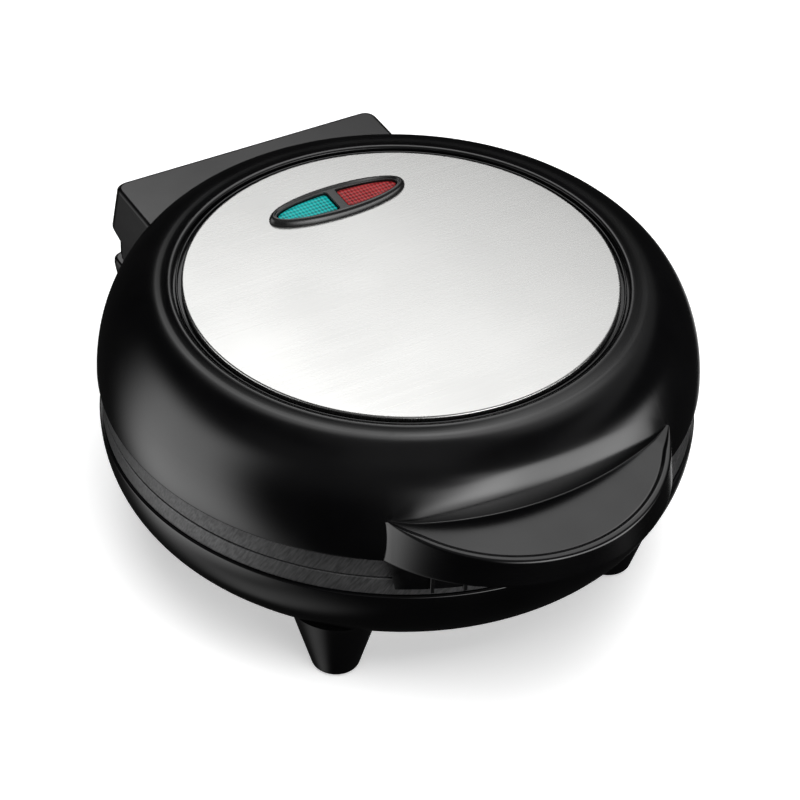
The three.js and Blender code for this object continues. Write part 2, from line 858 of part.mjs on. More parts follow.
function terminalBlock() {
  const [half, depth] = [terminalLength / 2, terminalDepth / 2];
  const body = solidOf(block(-half, half, -depth, depth, 0, terminalHeight));
  const holes = [];
  for (const side of [-1, 0, 1]) {
    const bore = post(terminalBore, -depth - overrun, depth + overrun).rotateX(quarterTurn);
    holes.push(solidOf(moved(bore, side * terminalPitch, 0, terminalHeight / 2)));
    const access = post(terminalBore, terminalHeight / 2, terminalHeight + overrun);
    holes.push(solidOf(moved(access, side * terminalPitch, 0, 0)));
  }
  return cut(body, ...holes);
}

// Lid shell

function domeSolid() {
  const side = quarterEllipse(shoulderRadius, lidEdgeLevel, lidInset, lidRise, profileSteps);
  const bead = [
    [(shoulderRadius + beadRadius) / 2, shoulderLevel + beadRise / 2],
    [beadRadius, shoulderLevel + beadRise],
    [grooveOuterRadius, shoulderLevel],
  ];
  const groove = [
    [grooveOuterRadius, seatLevel - grooveDepth],
    [discRadius - 2 * discSheet, seatLevel - grooveDepth],
    [discRadius - 2 * discSheet, seatLevel],
  ];
  return solidOf(turned([[0, lidEdgeLevel], ...side, ...bead, ...groove, [0, seatLevel]]));
}

function domeHollow() {
  const up = ceilingLevel - lidEdgeLevel;
  const side = quarterEllipse(shoulderRadius, lidEdgeLevel, lidInset - shellWall, up, hollowSteps);
  const low = lidEdgeLevel - overrun;
  return solidOf(turned([[0, low], [lidRadius - shellWall, low], ...side, [0, ceilingLevel]]));
}

function blockSide(inset) {
  const bottom = inset > 0 ? blockBottomLevel - overrun : blockBottomLevel;
  const notch = lidEdgeLevel - blockNotchDrop + inset;
  const top = blockTopLevel - inset;
  const bend = blockCrownRadius;
  const back = blockReach - inset;
  const crown = back - blockCrownInset;
  const side = new THREE.Shape();
  side.moveTo(bowlRadius / 2, bottom);
  side.lineTo(back - blockSkirtInset, bottom);
  side.lineTo(back - blockNotchInset, blockBottomLevel + blockSkirtRise);
  side.lineTo(back - blockNotchInset, notch);
  side.lineTo(back, lidEdgeLevel - blockStepDrop + inset);
  side.lineTo(crown, top - bend);
  side.quadraticCurveTo(crown, top, crown - bend, top);
  side.lineTo(bowlRadius / 2, top);
  return side;
}

function blockSolid(inset) {
  const half = housingWidth / 2 + overrun;
  const side = solidOf(sideSlab(blockSide(inset), -half, half));
  const plan = boxPlan(blockReach, inset);
  return side.intersect(solidOf(slab(plan, blockBottomLevel - 2 * overrun, blockTopLevel + overrun)));
}

// The hollow of the box over the hinge, short of the dome wall that closes the lid's inside
function blockHollow() {
  const low = lidEdgeLevel - overrun / 2;
  const wall = post(lidRadius, low, lidEdgeLevel + lidPartitionHeight, shellSteps);
  return cut(blockSolid(shellWall), solidOf(wall));
}

// Room under the box for the knuckles of the base
function kneeRoom() {
  const half = housingWidth / 2 - shellWall;
  const top = hingeLevel + hingeRadius + kneeGap;
  return solidOf(block(-half, half, plateRadius, blockReach, blockBottomLevel - overrun, top));
}

function lidEar(side) {
  const left = side < 0 ? -earInner - earThickness : earInner;
  const right = left + earThickness;
  const stalk = polygon([
    [hingeReach - hingeRadius, hingeLevel],
    [blockReach - blockNotchInset, hingeLevel],
    [blockReach - blockNotchInset, blockTopLevel - shellWall / 2],
    [hingeReach - 2 * hingeRadius, blockTopLevel - shellWall / 2],
  ]);
  const eye = moved(axle(hingeRadius, left, right), 0, hingeReach, hingeLevel);
  return join(solidOf(sideSlab(stalk, left, right)), solidOf(eye));
}

// The handle's top slopes down to the front from the level of its tips
function handleTop(y, drop) {
  return lidEdgeLevel + handleTipRise + handleSlope * (y + handleTipReach) - drop;
}

// Everything above or below the sloping top of the handle
function slopeSolid(drop, far) {
  const [front, back] = [-handleReach - overrun, -bowlRadius / 2];
  const outline = polygon([
    [front, handleTop(front, drop)],
    [front, far],
    [back, far],
    [back, handleTop(back, drop)],
  ]);
  return solidOf(sideSlab(outline, -lidRadius, lidRadius));
}

// Radius and centre of the arc through the handle's two tips and a point in front
function tipArc(reach) {
  const rise = reach - handleTipReach;
  const radius = (handleTipSide ** 2 + rise ** 2) / (2 * rise);
  return { radius, centre: radius - reach };
}

function arcPost(reach, grown, low, high) {
  const { radius, centre } = tipArc(reach);
  return solidOf(moved(post(radius + grown, low, high, shellSteps), 0, centre, 0));
}

function frontHalf(solid) {
  const back = handleTipReach - overrun / 2;
  const room = block(-lidRadius, lidRadius, -handleReach - overrun, -back, 0, shoulderLevel);
  return solid.intersect(solidOf(room));
}

function handleSolid() {
  const outline = frontHalf(arcPost(handleReach, 0, lidEdgeLevel, shoulderLevel));
  return outline.intersect(slopeSolid(0, 0));
}

// The scoop that the crescent makes in the front of the dome
function scoopSolid(inset) {
  const top = shoulderLevel + 2 * overrun;
  const beyond = block(-lidRadius, lidRadius, -handleReach - overrun, -bowlRadius / 2, 0, top);
  const outside = cut(solidOf(beyond), arcPost(scoopReach, -inset, -overrun, top + overrun));
  return outside.intersect(slopeSolid(inset, shoulderLevel + overrun));
}

// The shallow tray in the top of the crescent, inside a raised lip
function traySolid() {
  const inner = arcPost(handleReach, -trayInset, 0, shoulderLevel);
  const top = shoulderLevel + overrun;
  const room = cut(frontHalf(inner), arcPost(scoopReach, trayInset / 2, -overrun, top));
  return room.intersect(slopeSolid(trayDepth, shoulderLevel));
}

function handleHollow(dome) {
  const inner = frontHalf(arcPost(handleReach, -handleWall, lidEdgeLevel - overrun, shoulderLevel));
  const under = inner.intersect(slopeSolid(handleWall + trayDepth, 0));
  return cut(under, dome, solidOf(post(guardRadius, 0, lidEdgeLevel + overrun / 2, shellSteps)));
}

// The guard is part of a ring; its ends lean in towards the bottom
function guardSolid() {
  const bottom = lidEdgeLevel - guardDrop;
  const top = lidEdgeLevel + shellWall;
  const ring = (halfAngle) => {
    const outline = new THREE.Shape();
    const [start, end] = [-quarterTurn - halfAngle, halfAngle - quarterTurn];
    outline.absarc(0, 0, guardRadius, start, end, false);
    outline.absarc(0, 0, guardRadius - guardWall, end, start, true);
    return outline.getPoints(profileSteps).map(({ x, y }) => [x, y]);
  };
  const wall = loft([
    { points: ring(guardHalfAngle), level: bottom },
    { points: ring(guardHalfAngle + guardSlantAngle), level: lidEdgeLevel },
    { points: ring(guardHalfAngle + guardSlantAngle), level: top },
  ]);
  const ribs = [];
  const ribTop = lidEdgeLevel + guardRibRise;
  for (let i = 0; i < guardRibCount; i += 1) {
    const turn = (i - (guardRibCount - 1) / 2) * guardRibPitch;
    const [front, back] = [-guardRadius - guardRibDepth, -guardRadius + guardWall / 2];
    const rib = block(-guardRibWidth / 2, guardRibWidth / 2, front, back, bottom, ribTop);
    ribs.push(solidOf(rib.rotateZ(turn)));
  }
  return join(solidOf(wall), ...ribs);
}

function windowOpening(grown) {
  const shape = oval(frameHalfLength - frameFlange + grown, frameHalfWidth - frameFlange + grown);
  const opening = slab(shape, ceilingLevel - overrun, frameTopLevel + overrun, ovalSteps);
  return solidOf(moved(opening, windowSide, windowReach, 0));
}

function lidShell() {
  const dome = domeSolid();
  const handle = cut(handleSolid(), domeHollow());
  const plateClearance = plateRadius + 2 * seatGap;
  const plateRoom = post(plateClearance, blockBottomLevel - overrun, lidEdgeLevel, shellSteps);
  const outside = join(cut(dome, scoopSolid(0)), cut(blockSolid(0), solidOf(plateRoom)));
  const hollow = join(cut(domeHollow(), scoopSolid(shellWall)), blockHollow(), kneeRoom());
  const wellEnd = ceilingLevel - upperFace + seatGap;
  const wells = screwPlaces.map((place) => screwWell(place, upperPocketDepth, wellEnd));
  const shell = join(
    cut(outside, hollow),
    cut(handle, traySolid(), handleHollow(dome)),
    cut(guardSolid(), domeHollow()),
    lidEar(-1),
    lidEar(1),
    ...wells.map(([outer]) => solidOf(raised(outer))),
  );
  return cut(
    shell,
    ...wells.map(([, bore]) => solidOf(raised(bore))),
    windowOpening(frameClearance),
    pinHole(-1, pinRadius + runningGap),
    pinHole(1, pinRadius + runningGap),
  );
}

// Steel disc: a crowned sheet with its edge turned down into the groove

function discSolid() {
  const under = discRimLevel - discSheet;
  const crown = (share) => discCrown * (1 - share ** 2);
  const shares = [1, 0.5, 0];
  const outer = discRadius - seatGap;
  const top = shares.map((share) => [share * (outer - discSheet), discRimLevel + crown(share)]);
  const bottom = shares.map((share) => [share * (outer - discSheet), under + crown(share)]).reverse();
  const edge = [
    [outer - discSheet / 2, under - discEdgeDrop],
    [outer, under - discEdgeDrop],
    [outer, discRimLevel - discSheet / 2],
  ];
  const disc = solidOf(turned([...bottom, ...edge, ...top]));
  return cut(disc, windowOpening(frameClearance));
}

// Indicator frame, its lenses and lamps, built with their middle at zero

// Half an oval with its flat side along the bar and rounded corners there
function windowShape(inset) {
  const edge = windowBarWidth / 2 + inset;
  const across = frameHalfLength - frameRimWall - inset;
  const up = frameHalfWidth - frameRimWall - inset;
  const start = Math.acos((edge + windowCorner) / across);
  const rise = up * Math.sin(start);
  const shape = new THREE.Shape();
  shape.absellipse(0, 0, across, up, -start, start, false);
  shape.quadraticCurveTo(edge, rise, edge, rise - windowCorner);
  shape.lineTo(edge, windowCorner - rise);
  shape.quadraticCurveTo(edge, -rise, edge + windowCorner, -rise);
  return shape;
}

// Two openings, one each side of the bar
function windowPair(inset, low, high) {
  const half = () => slab(windowShape(inset), low, high, ovalSteps / 2);
  return [0, Math.PI].map((turn) => solidOf(half().rotateZ(turn)));
}

function ovalRing(inset, level) {
  const shape = oval(frameHalfLength - inset, frameHalfWidth - inset);
  const points = shape.getPoints(ovalSteps).slice(0, -1);
  return { level, points: points.map(({ x, y }) => [x, y]) };
}

function indicatorFrame() {
  const flangeLow = frameSeatLevel + seatGap;
  const flange = loft([
    ovalRing(0, flangeLow),
    ovalRing(0, flangeLow + frameEdgeRise),
    ovalRing(frameSlope, frameTopLevel),
  ]);
  const body = oval(frameHalfLength - frameFlange, frameHalfWidth - frameFlange);
  const stem = slab(body, frameTopLevel - frameRise - frameBodyDrop, frameTopLevel, ovalSteps);
  const ledge = frameTopLevel - lensRecess - lensThickness - seatGap;
  return cut(
    join(solidOf(flange), solidOf(stem)),
    ...windowPair(0, ledge, frameTopLevel + overrun),
    ...windowPair(lensLedge, frameSeatLevel - 2 * frameBodyDrop, ledge + seatGap),
  );
}

// A lens with its upper face slightly raised in the middle
function lens() {
  const high = frameTopLevel - lensRecess;
  const ring = (inset, level) => {
    const points = windowShape(inset).getPoints(ovalSteps / 2).slice(0, -1);
    return { level, points: points.map(({ x, y }) => [x, y]) };
  };
  return solidOf(
    loft([
      ring(seatGap, high - lensThickness),
      ring(seatGap, high - lensCrown),
      ring(seatGap + lensCrown, high),
    ]),
  );
}

const holderLevel = frameTopLevel - frameRise - frameBodyDrop - seatGap;

function lampHolder() {
  const low = holderLevel - holderHeight;
  const [across, up] = [frameHalfLength - frameFlange, frameHalfWidth - frameFlange];
  const outer = slab(oval(across, up), low, holderLevel, ovalSteps);
  const room = oval(across - holderWall, up - holderWall);
  const inner = slab(room, low + holderWall, holderLevel + overrun, ovalSteps);
  const bar = block(-holderWall / 2, holderWall / 2, -up, up, low, holderLevel - holderWall);
  const cup = cut(solidOf(outer), solidOf(inner));
  return join(cup, solidOf(bar).intersect(solidOf(outer)));
}

// A lamp lying along X, with its leads at the outer end
function lamp() {
  const bulb = axle(lampRadius, 0, lampLength);
  const leads = [-1, 1].map((side) => {
    const [from, to] = [lampLength - lampLeadLength, lampLength + lampLeadLength];
    const lead = axle(lampLeadRadius, from, to, elementSides);
    return solidOf(moved(lead, 0, (side * lampRadius) / 2, 0));
  });
  return join(solidOf(bulb), ...leads);
}

function thermostat() {
  const capTop = thermostatHeight + thermostatCapHeight;
  const body = turned(
    [
      [0, 0],
      [thermostatRadius, 0],
      [thermostatRadius, thermostatHeight],
      [thermostatCapRadius, thermostatHeight],
      [thermostatCapRadius, capTop],
      [0, capTop],
    ],
    postSteps,
  );
  const tabs = [-1, 1].map((side) => {
    const x = side * thermostatTabSide;
    const [left, right] = [x - thermostatTabSheet / 2, x + thermostatTabSheet / 2];
    const [front, back] = [-thermostatTabWidth / 2, thermostatTabWidth / 2];
    return solidOf(block(left, right, front, back, thermostatHeight, capTop + thermostatTabHeight));
  });
  return join(solidOf(body), ...tabs);
}

function thermalFuse() {
  const half = fuseLength / 2;
  const lead = axle(fuseLeadRadius, -half - fuseLeadLength, half + fuseLeadLength, elementSides);
  return join(solidOf(axle(fuseRadius, -half, half)), solidOf(lead));
}

// Assembly

function placedMesh(mesh, x, y, z) {
  mesh.position.set(x, y, z);
  return mesh;
}

function baseGroup() {
  const group = new THREE.Group();
  group.add(meshOf("base_shell", baseShell(), blackPlastic));
  for (const { name, x, y } of footPlaces) {
    group.add(placedMesh(meshOf("foot_pad_" + name, footPad(), rubber), x, y, 0));
  }
  const plate = heatedPlate("lower", lowerRimHeight, lowerPocketDepth, []);
  plate.position.set(0, 0, lowerFace);
  group.add(plate);
  const rightPin = meshOf("hinge_pin_right", hingePin(), screwSteel);
  const leftPin = meshOf("hinge_pin_left", hingePin(), screwSteel);
  leftPin.rotation.z = Math.PI;
  group.add(placedMesh(rightPin, earInner, hingeReach, hingeLevel));
  group.add(placedMesh(leftPin, -earInner, hingeReach, hingeLevel));
  const terminal = meshOf("terminal_block", terminalBlock(), ceramic);
  const terminalLevel = floorLevel + shellWall + seatGap;
  group.add(placedMesh(terminal, -terminalSide, housingReach - terminalInset, terminalLevel));
  return group;
}

function indicatorGroup() {
  const group = new THREE.Group();
  group.add(meshOf("indicator_frame", indicatorFrame(), framePlastic));
  const green = meshOf("green_lens", lens(), greenPlastic);
  green.rotation.z = Math.PI;
  group.add(green, meshOf("red_lens", lens(), redPlastic));
  group.add(meshOf("lamp_holder", lampHolder(), holderPlastic));
  const lampLevel = holderLevel - holderHeight + holderWall + seatGap + lampRadius;
  const start = holderWall / 2 + seatGap;
  const greenLamp = placedMesh(meshOf("green_lamp", lamp(), lampGlass), -start, 0, lampLevel);
  greenLamp.rotation.z = Math.PI;
  group.add(greenLamp, placedMesh(meshOf("red_lamp", lamp(), lampGlass), start, 0, lampLevel));
  group.position.set(windowSide, windowReach, 0);
  return group;
}

function lidGroup() {
  const group = new THREE.Group();
  group.add(meshOf("lid_shell", lidShell(), blackPlastic));
  group.add(meshOf("steel_disc", discSolid(), brushedSteel));
  group.add(indicatorGroup());
  const window = { x: -thermostatSide, y: 0, radius: thermostatRadius + thermostatWindow };
  const plate = heatedPlate("upper", upperRimHeight, upperPocketDepth, [window]);
  plate.position.set(0, 0, upperFace);
  plate.rotation.y = Math.PI;
  group.add(plate);
  const plateBack = upperFace + upperPocketDepth + plateWall + seatGap;
  group.add(placedMesh(meshOf("thermostat", thermostat(), ceramic), thermostatSide, 0, plateBack));
  const reflectorBack = upperFace + reflectorStart(upperPocketDepth) + reflectorSheet + seatGap;
  const fuse = meshOf("thermal_fuse", thermalFuse(), elementSteel);
  group.add(placedMesh(fuse, -thermostatSide, fuseReach, reflectorBack + fuseRadius));
  return group;
}

// The lid turns about the hinge axis, so its group hangs from a pivot there
function hingedLid() {
  const pivot = new THREE.Group();
  pivot.position.set(0, hingeReach, hingeLevel);
  const lid = lidGroup();
  lid.position.set(0, -hingeReach, -hingeLevel);
  pivot.add(lid);
  return pivot;
}

const omeletteMaker = new THREE.Group();
omeletteMaker.add(baseGroup(), hingedLid());

export default omeletteMaker;
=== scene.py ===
# Looks of a round omelette maker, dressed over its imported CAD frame.
# Lengths are in millimetres until a piece is made, with +Z up, the handle towards -Y
# and the origin on the table under the middle of the round plates.

from math import acos, asin, atan2, copysign, cos, degrees, dist, pi, radians, sin, sqrt

import bpy
from mathutils import Matrix, Vector


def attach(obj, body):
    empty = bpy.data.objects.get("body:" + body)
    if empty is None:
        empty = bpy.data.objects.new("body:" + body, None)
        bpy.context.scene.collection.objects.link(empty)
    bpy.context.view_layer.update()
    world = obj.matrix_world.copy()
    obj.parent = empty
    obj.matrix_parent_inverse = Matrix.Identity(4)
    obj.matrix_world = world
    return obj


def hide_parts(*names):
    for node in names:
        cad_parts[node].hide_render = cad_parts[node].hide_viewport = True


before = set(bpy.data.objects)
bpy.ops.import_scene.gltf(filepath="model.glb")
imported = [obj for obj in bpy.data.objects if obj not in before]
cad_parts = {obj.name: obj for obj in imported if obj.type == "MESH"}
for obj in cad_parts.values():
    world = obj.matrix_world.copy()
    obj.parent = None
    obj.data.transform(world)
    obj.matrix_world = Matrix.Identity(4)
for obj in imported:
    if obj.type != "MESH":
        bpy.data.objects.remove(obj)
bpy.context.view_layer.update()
scene = bpy.context.scene

MM = 0.001
MERGE_DISTANCE = 0.000001

# Steps of smooth forms
ROUND_STEPS = 224
BACK_STEPS = 96
OVAL_STEPS = 96
HALF_OVAL_STEPS = 72
FOOT_STEPS = 72
PAD_STEPS = 64
GUARD_STEPS = 60
COLLAR_STEPS = 48
BORE_STEPS = 40
HOLE_STEPS = 32
BOWL_STEPS = 28
EAR_STEPS = 28
SIDE_STEPS = 20
HOUSING_STEPS = 16
DISC_STEPS = 12
CORNER_STEPS = 12
VENT_STEPS = 10
ARC_STEPS = 8
LIP_STEPS = 7
LENS_STEPS = 6
EDGE_STEPS = 5
MOUTH_STEPS = 4
RIB_EDGE_STEPS = 3

# Steps of the lid's section, and the angles between its sections
DOME_STEPS = 20
FLANK_STEPS = 20
INSIDE_STEPS = 18
LID_ROOM_STEPS = 24
CRESCENT_STEPS = 72
TIP_STEPS = 12
TIP_STEP = 0.12
TIP_GAP = 0.15
PLAIN_SPREAD = 0.3

# Limits of rounded corners and sharp edges, and the gap of loose fits
CORNER_SHARE = 0.48
LEAST_CORNER = 1.0
SHARP_ANGLE = 32
LID_SHARP_ANGLE = 38
FRAME_SHARP_ANGLE = 40
SEAT_GAP = 0.3

# Base shell
FLOOR = 23.4
BASE_RIM = 52.4
BOWL_RADIUS = 99.8
BOWL_INSET = 19.6
BOWL_BEVEL = 1.7
WALL = 2.5
HOUSING_HALF = 50.9
HOUSING_REACH = 116.4
HOUSING_LIP = 53.2
HOUSING_WAIST = (113.0, 45.0)
HOUSING_BEND = (108.5, 27.4)
HOUSING_FLOOR_REACH = 95.0
HOUSING_LIP_DROP = 2.3
HOUSING_CORNER = 5.0
PARTITION_RADIUS = 99.8
PLATE_ROOM = 99.1
VENT_COUNT = 5
VENT_PITCH = 9.0
VENT_WIDTH = 3.0
VENT_LENGTH = 34.0
VENT_SIDE = 24.0
INLET_SIDE = 22.0
INLET_LEVEL = 39.4
INLET_RADIUS = 4.5
COLLAR_RADIUS = 7.0
COLLAR_BACK = 114.9
BOWL_MIDDLE = BOWL_RADIUS - BOWL_INSET
BOWL_DROP = BASE_RIM - FLOOR - BOWL_BEVEL
COLLAR_FRONT = 101.0
COLLAR_EDGE = 0.9
INLET_EDGE = 0.5
PARTITION_DROP = 10.0
BASE_LIP_EDGE = 0.4
HOUSING_TOP_EDGE = 1.2

# Feet and their pads
FRONT_FOOT = (52.5, -54.95)
REAR_FOOT = (38.0, 84.0)
FOOT_TIP_RADIUS = 7.8
FOOT_TIP_LEVEL = 0.8
FOOT_ROOT = (14.3, 13.3)
FOOT_ROOT_LEVEL = 24.9
FOOT_SUNK_LEVEL = 28.4
FOOT_SHIFT = 1.8
FOOT_EDGE = 1.1
PAD_RADIUS = 5.2
PAD_THICKNESS = 1.6
PAD_EDGE = 0.6
PAD_TOP_EDGE = 0.2
PAD_GROOVE_SHARES = (0.42, 0.46, 0.58, 0.62)
PAD_GROOVE_DEPTH = 0.22

# Plates
PLATE_RADIUS = 98.8
LOWER_FACE = 59.35
UPPER_FACE = 59.85
LOWER_RIM = 6.75
UPPER_RIM = 7.85
PLATE_LAND = 3.0
PLATE_RIM_WALL = 2.5
PLATE_WALL = 2.8
PLATE_EDGE = 0.5
PLATE_RING_SHARES = (0.98, 0.94, 0.9, 0.884, 0.6, 0.3, 0.1)
LOWER_POCKET = 13.0
UPPER_POCKET = 11.0
POCKET_RADIUS = 86.0
POCKET_BAR = 5.0
POCKET_CORNER = 11.0
POCKET_DRAFT = 2.5
POCKET_FILLET = 4.0
PLATE_FILLET = 1.2
PLATE_LIP_EDGE = 0.3
MOUTH_INSET = 0.45
MOUTH_DROP = 0.9
MOUTH_SPREAD = 0.6

# Lid shell: dome, bead and groove
LID_EDGE = 67.9
LID_RADIUS = 100.3
SHOULDER_RADIUS = 79.1
SHOULDER_LEVEL = 102.2
SEAT_LEVEL = 101.7
CEILING = 99.1
BEAD_RISE = 0.7
BEAD_RADIUS = 76.1
GROOVE_OUTER = 74.7
GROOVE_INNER = 71.0
GROOVE_FLOOR = 100.5
RIDGE_RADIUS = 73.55
RIDGE_HALF = 0.4
RIDGE_LEVEL = 101.9
SEAT_START = 30.0
LID_FOOT_EDGE = 0.7
DOME_ACROSS = LID_RADIUS - SHOULDER_RADIUS
DOME_RISE = SHOULDER_LEVEL - LID_EDGE
LID_SIDE_START = LID_EDGE + LID_FOOT_EDGE
BEAD_DROP = 0.1
BEAD_TURN = 0.25
BEAD_SHARES = (0.75, 1.05, 0.45)
CROWN_EDGES = (0, 0.3, 0.3, 0.1, 0.35, 0.35, 0.1, 0.1, 0, 0.9, 1.6, 1.4, 0)

# Lid shell: crescent handle
SCOOP_SHIFT = -28.3
SCOOP_RADIUS = 123.3
HANDLE_CENTRE = -63.63
HANDLE_RADIUS = 55.67
HANDLE_SLOPE = 0.151
HANDLE_TIP_Y = -83.5
HANDLE_TIP_LEVEL = 83.0
TIP_ANGLE = 31.9
LIP_WIDTH = 2.2
LIP_EDGE = 0.9
TRAY_DEPTH = 0.7
WALL_LEAN = 1.5
SCOOP_EDGE = 3.5
SCOOP_SHARE = 0.72
SCOOP_FILLET = 0.5
FILLET_SHARE = 0.1
TRAY_FILLET = 0.6
HANDLE_FRONT = HANDLE_RADIUS - HANDLE_CENTRE
FLARE_ALONG = LID_RADIUS * cos(radians(TIP_ANGLE))
FLARE_CENTRE = (HANDLE_FRONT**2 - LID_RADIUS**2) / 2 / (HANDLE_FRONT - FLARE_ALONG)
FLARE_RADIUS = HANDLE_FRONT - FLARE_CENTRE
FADE_WIDTH = 8.0
LIP_FADE_WIDTH = 9.0
TRAY_SIDE = 1.1
DOME_BEND = 28.0
TOP_ANGLE = 88.0
SHELF_RISE = 2.0
SHELF_SPREAD = 1.7
OPEN_SPREAD = 1.5

# Lid shell: box over the hinge
BOX_BOTTOM = 57.2
BOX_TOP = 85.5
BOX_SKIRT = 109.8
BOX_NOTCH = 111.0
BOX_NOTCH_LOW = 58.9
BOX_NOTCH_HIGH = 64.1
BOX_STEP = 65.9
BOX_REACH = 117.4
BOX_CROWN = 112.6
BOX_EDGE = 1.6
BOX_FRONT = 47.5
BOX_SHELF = 73.4
BOX_LOW_EDGE = 0.4
BOX_NOTCH_EDGE = 0.6
BOX_KNEE_EDGE = 0.9
BOX_PLATE_GAP = 0.6
BOX_CUT_PAST = 1.0

# Lid shell: guard under the handle
GUARD_RADIUS = 102.0
GUARD_WALL = 1.8
GUARD_LOW = 57.7
GUARD_ANGLE = 29.7
GUARD_TUCK = 0.3
GUARD_SLANT = 1.6
GUARD_TOP = 70.4
RIB_COUNT = 9
RIB_PITCH = 5.82
RIB_WIDTH = 1.3
RIB_DEPTH = 1.8
RIB_TOP = 73.9
GUARD_COVER = 0.5
GUARD_EDGES = (0.2, 0.4, 0, 0)
RIB_EDGES = (0.3, 0.3, 0, 0)

# Wells and bosses of the plate screws
SCREW_CIRCLE = 62.0
BOSS_RADIUS = 4.6
BOSS_LENGTH = 6.35
WELL_RADIUS = 6.0
WELL_STEP = 1.2
WELL_BORE = 4.1
WELL_HOLE = 1.9
WELL_WEB = 2.2
LOWER_WELL_WEB = 37.0
LOWER_WELL_STEP = 34.65
UPPER_WELL_WEB = 80.2
UPPER_WELL_STEP = 82.55
BOSS_SUNK = 1.0
SCREW_TURNS = (45, 135, 225, 315)

# Hinge
HINGE = (109.5, 55.7)
HINGE_RADIUS = 4.0
PIN_HOLE = 2.1
EAR = (36.5, 41.5)
KNUCKLE = (42.0, 46.5)
HINGE_GAP = 0.5
HINGE_EDGE = 0.4
HINGE_SOFT_ANGLE = 40
KNUCKLE_DEPTH = 12.0

# Steel disc and indicator window
DISC_RADIUS = 72.3
DISC_SHEET = 0.8
DISC_RIM_LEVEL = 102.8
DISC_CROWN = 0.3
DISC_EDGE_DROP = 0.9
WINDOW = (1.4, 46.5)
FRAME_HALF = (25.5, 8.1)
FRAME_FLANGE = 2.2
FRAME_TOP = 105.07
FRAME_SEAT = 103.05
FRAME_LOW = 98.07
FRAME_CREST = (1.25, 1.75)
BAR_DROP = 0.5
BAR_LEVEL = FRAME_TOP - BAR_DROP
FRAME_RIM = 2.8
FRAME_EDGE = 0.35
BAR_WIDTH = 3.4
WINDOW_CORNER = 1.4
LENS_RECESS = 1.1
LENS_THICKNESS = 2.2
LENS_CROWN = 0.45
LENS_CROWN_WIDTH = 1.6
LENS_LEDGE = 0.9
PRISM_COUNT = 3.1
PRISM_SHARES = (0.8, 0.6)

# Camera in millimetres, floor and lamp in metres
CAMERA_LENS = 158.4
CAMERA_SENSOR = 36
CAMERA_CLIP = (0.05, 50)
CAMERA_TURN = (-30.51, 38.99, 1.97)
CAMERA_PLACE = (-466.3, -793.1, 796.3)
FLOOR_REACH = 3
FLOOR_LIT = 0.95
FLOOR_DULL = 0.1
FLOOR_GLOW = 0.42
LAMP_PLACE = (-0.1, -0.38, 1.35)
LAMP_SIZE = (1.2, 1.2)
LAMP_POWER = 21
ROOM_LIGHT = 0.014

# Each panel: side, rise and roll, how wide and high it is, how sharp its edges are, strength
PANELS = (
    (-111, -10, 0, (25, 36), (4, 6), 3.0),
    (-98, -64, 0, (20, 9), (3, 4), 0.5),
    (143, 55, 0, (15, 9), (3, 4), 2.2),
    (108, 60, 0, (14, 10), (3, 4), 0.6),
    (90, 42, 0, (40, 9), (4, 4), 0.3),
    (152, 42.2, 23, (9.5, 6.8), (4, 8), 3.1),
    (30, -1, 22, (37, 21), (8, 8), 5.5),
    (-2, -2, 0, (17, 24), (4, 8), 2.8),
    (138, -36, 0, (7, 7), (4, 4), 0.8),
    (60, 86, 0, (40, 17), (4, 4), 0.22),
    (-45, 40, 0, (50, 28), (4, 4), 0.1),
)


# Plain mesh helpers


def arc(centre, radii, start, end, steps):
    """Points of an elliptical arc, with angles in degrees."""
    points = []
    for i in range(steps + 1):
        angle = radians(start + (end - start) * i / steps)
        points.append((centre[0] + radii[0] * cos(angle), centre[1] + radii[1] * sin(angle)))
    return points


def bend(start, corner, end, steps):
    """A smooth turn from start to end, drawn towards the corner between them."""
    points = []
    for i in range(steps + 1):
        t = i / steps
        a, b, c = (1 - t) ** 2, 2 * t * (1 - t), t * t
        points.append(tuple(a * p + b * q + c * r for p, q, r in zip(start, corner, end)))
    return points


def towards(start, end, distance):
    span = dist(start, end)
    share = min(distance / span, CORNER_SHARE) if span > 0 else 0
    return tuple(a + (b - a) * share for a, b in zip(start, end))


def rounded(points, radii, steps=EDGE_STEPS, closed=False):
    """A line of points with each corner rounded by its own radius."""
    out = []
    for i, (point, size) in enumerate(zip(points, radii)):
        if size == 0 or (not closed and i in (0, len(points) - 1)):
            out.append(point)
        else:
            before, after = points[i - 1], points[(i + 1) % len(points)]
            out.extend(bend(towards(point, before, size), point, towards(point, after, size), steps))
    return out


def skin(rows, around=False, along=False):
    """Vertices and faces of a sheet through rows of points, wrapped one or both ways."""
    width = len(rows[0])
    verts = [point for row in rows for point in row]
    faces = []
    for i in range(len(rows) if around else len(rows) - 1):
        j = (i + 1) % len(rows)
        for k in range(width if along else width - 1):
            m = (k + 1) % width
            faces.append((i * width + k, i * width + m, j * width + m, j * width + k))
    return verts, faces


def capped(rows):
    """A closed solid through rings of points, with a face at each end."""
    verts, faces = skin(rows, along=True)
    width = len(rows[0])
    last = len(verts) - width
    faces.append(tuple(range(width - 1, -1, -1)))
    faces.append(tuple(range(last, last + width)))
    return verts, faces


def circle(radius, steps):
    turns = [2 * pi * i / steps for i in range(steps)]
    return [(radius * cos(t), radius * sin(t)) for t in turns]


def quarter(steps):
    """Shares of a quarter turn: how far it has drawn in, and how far it has left to rise."""
    turns = [radians(90 * i / steps) for i in range(steps + 1)]
    return [(1 - cos(t), 1 - sin(t)) for t in turns]


def turned(profile, steps=ROUND_STEPS):
    """A closed profile of (radius, height) turned about Z."""
    rows = [[(r * c, r * s, z) for r, z in profile] for c, s in circle(1, steps)]
    return skin(rows, around=True, along=True)


def drum(radius, low, high):
    """A plain cylinder about the middle of the plates."""
    return turned([(0, low), (radius, low), (radius, high), (0, high)], BACK_STEPS)


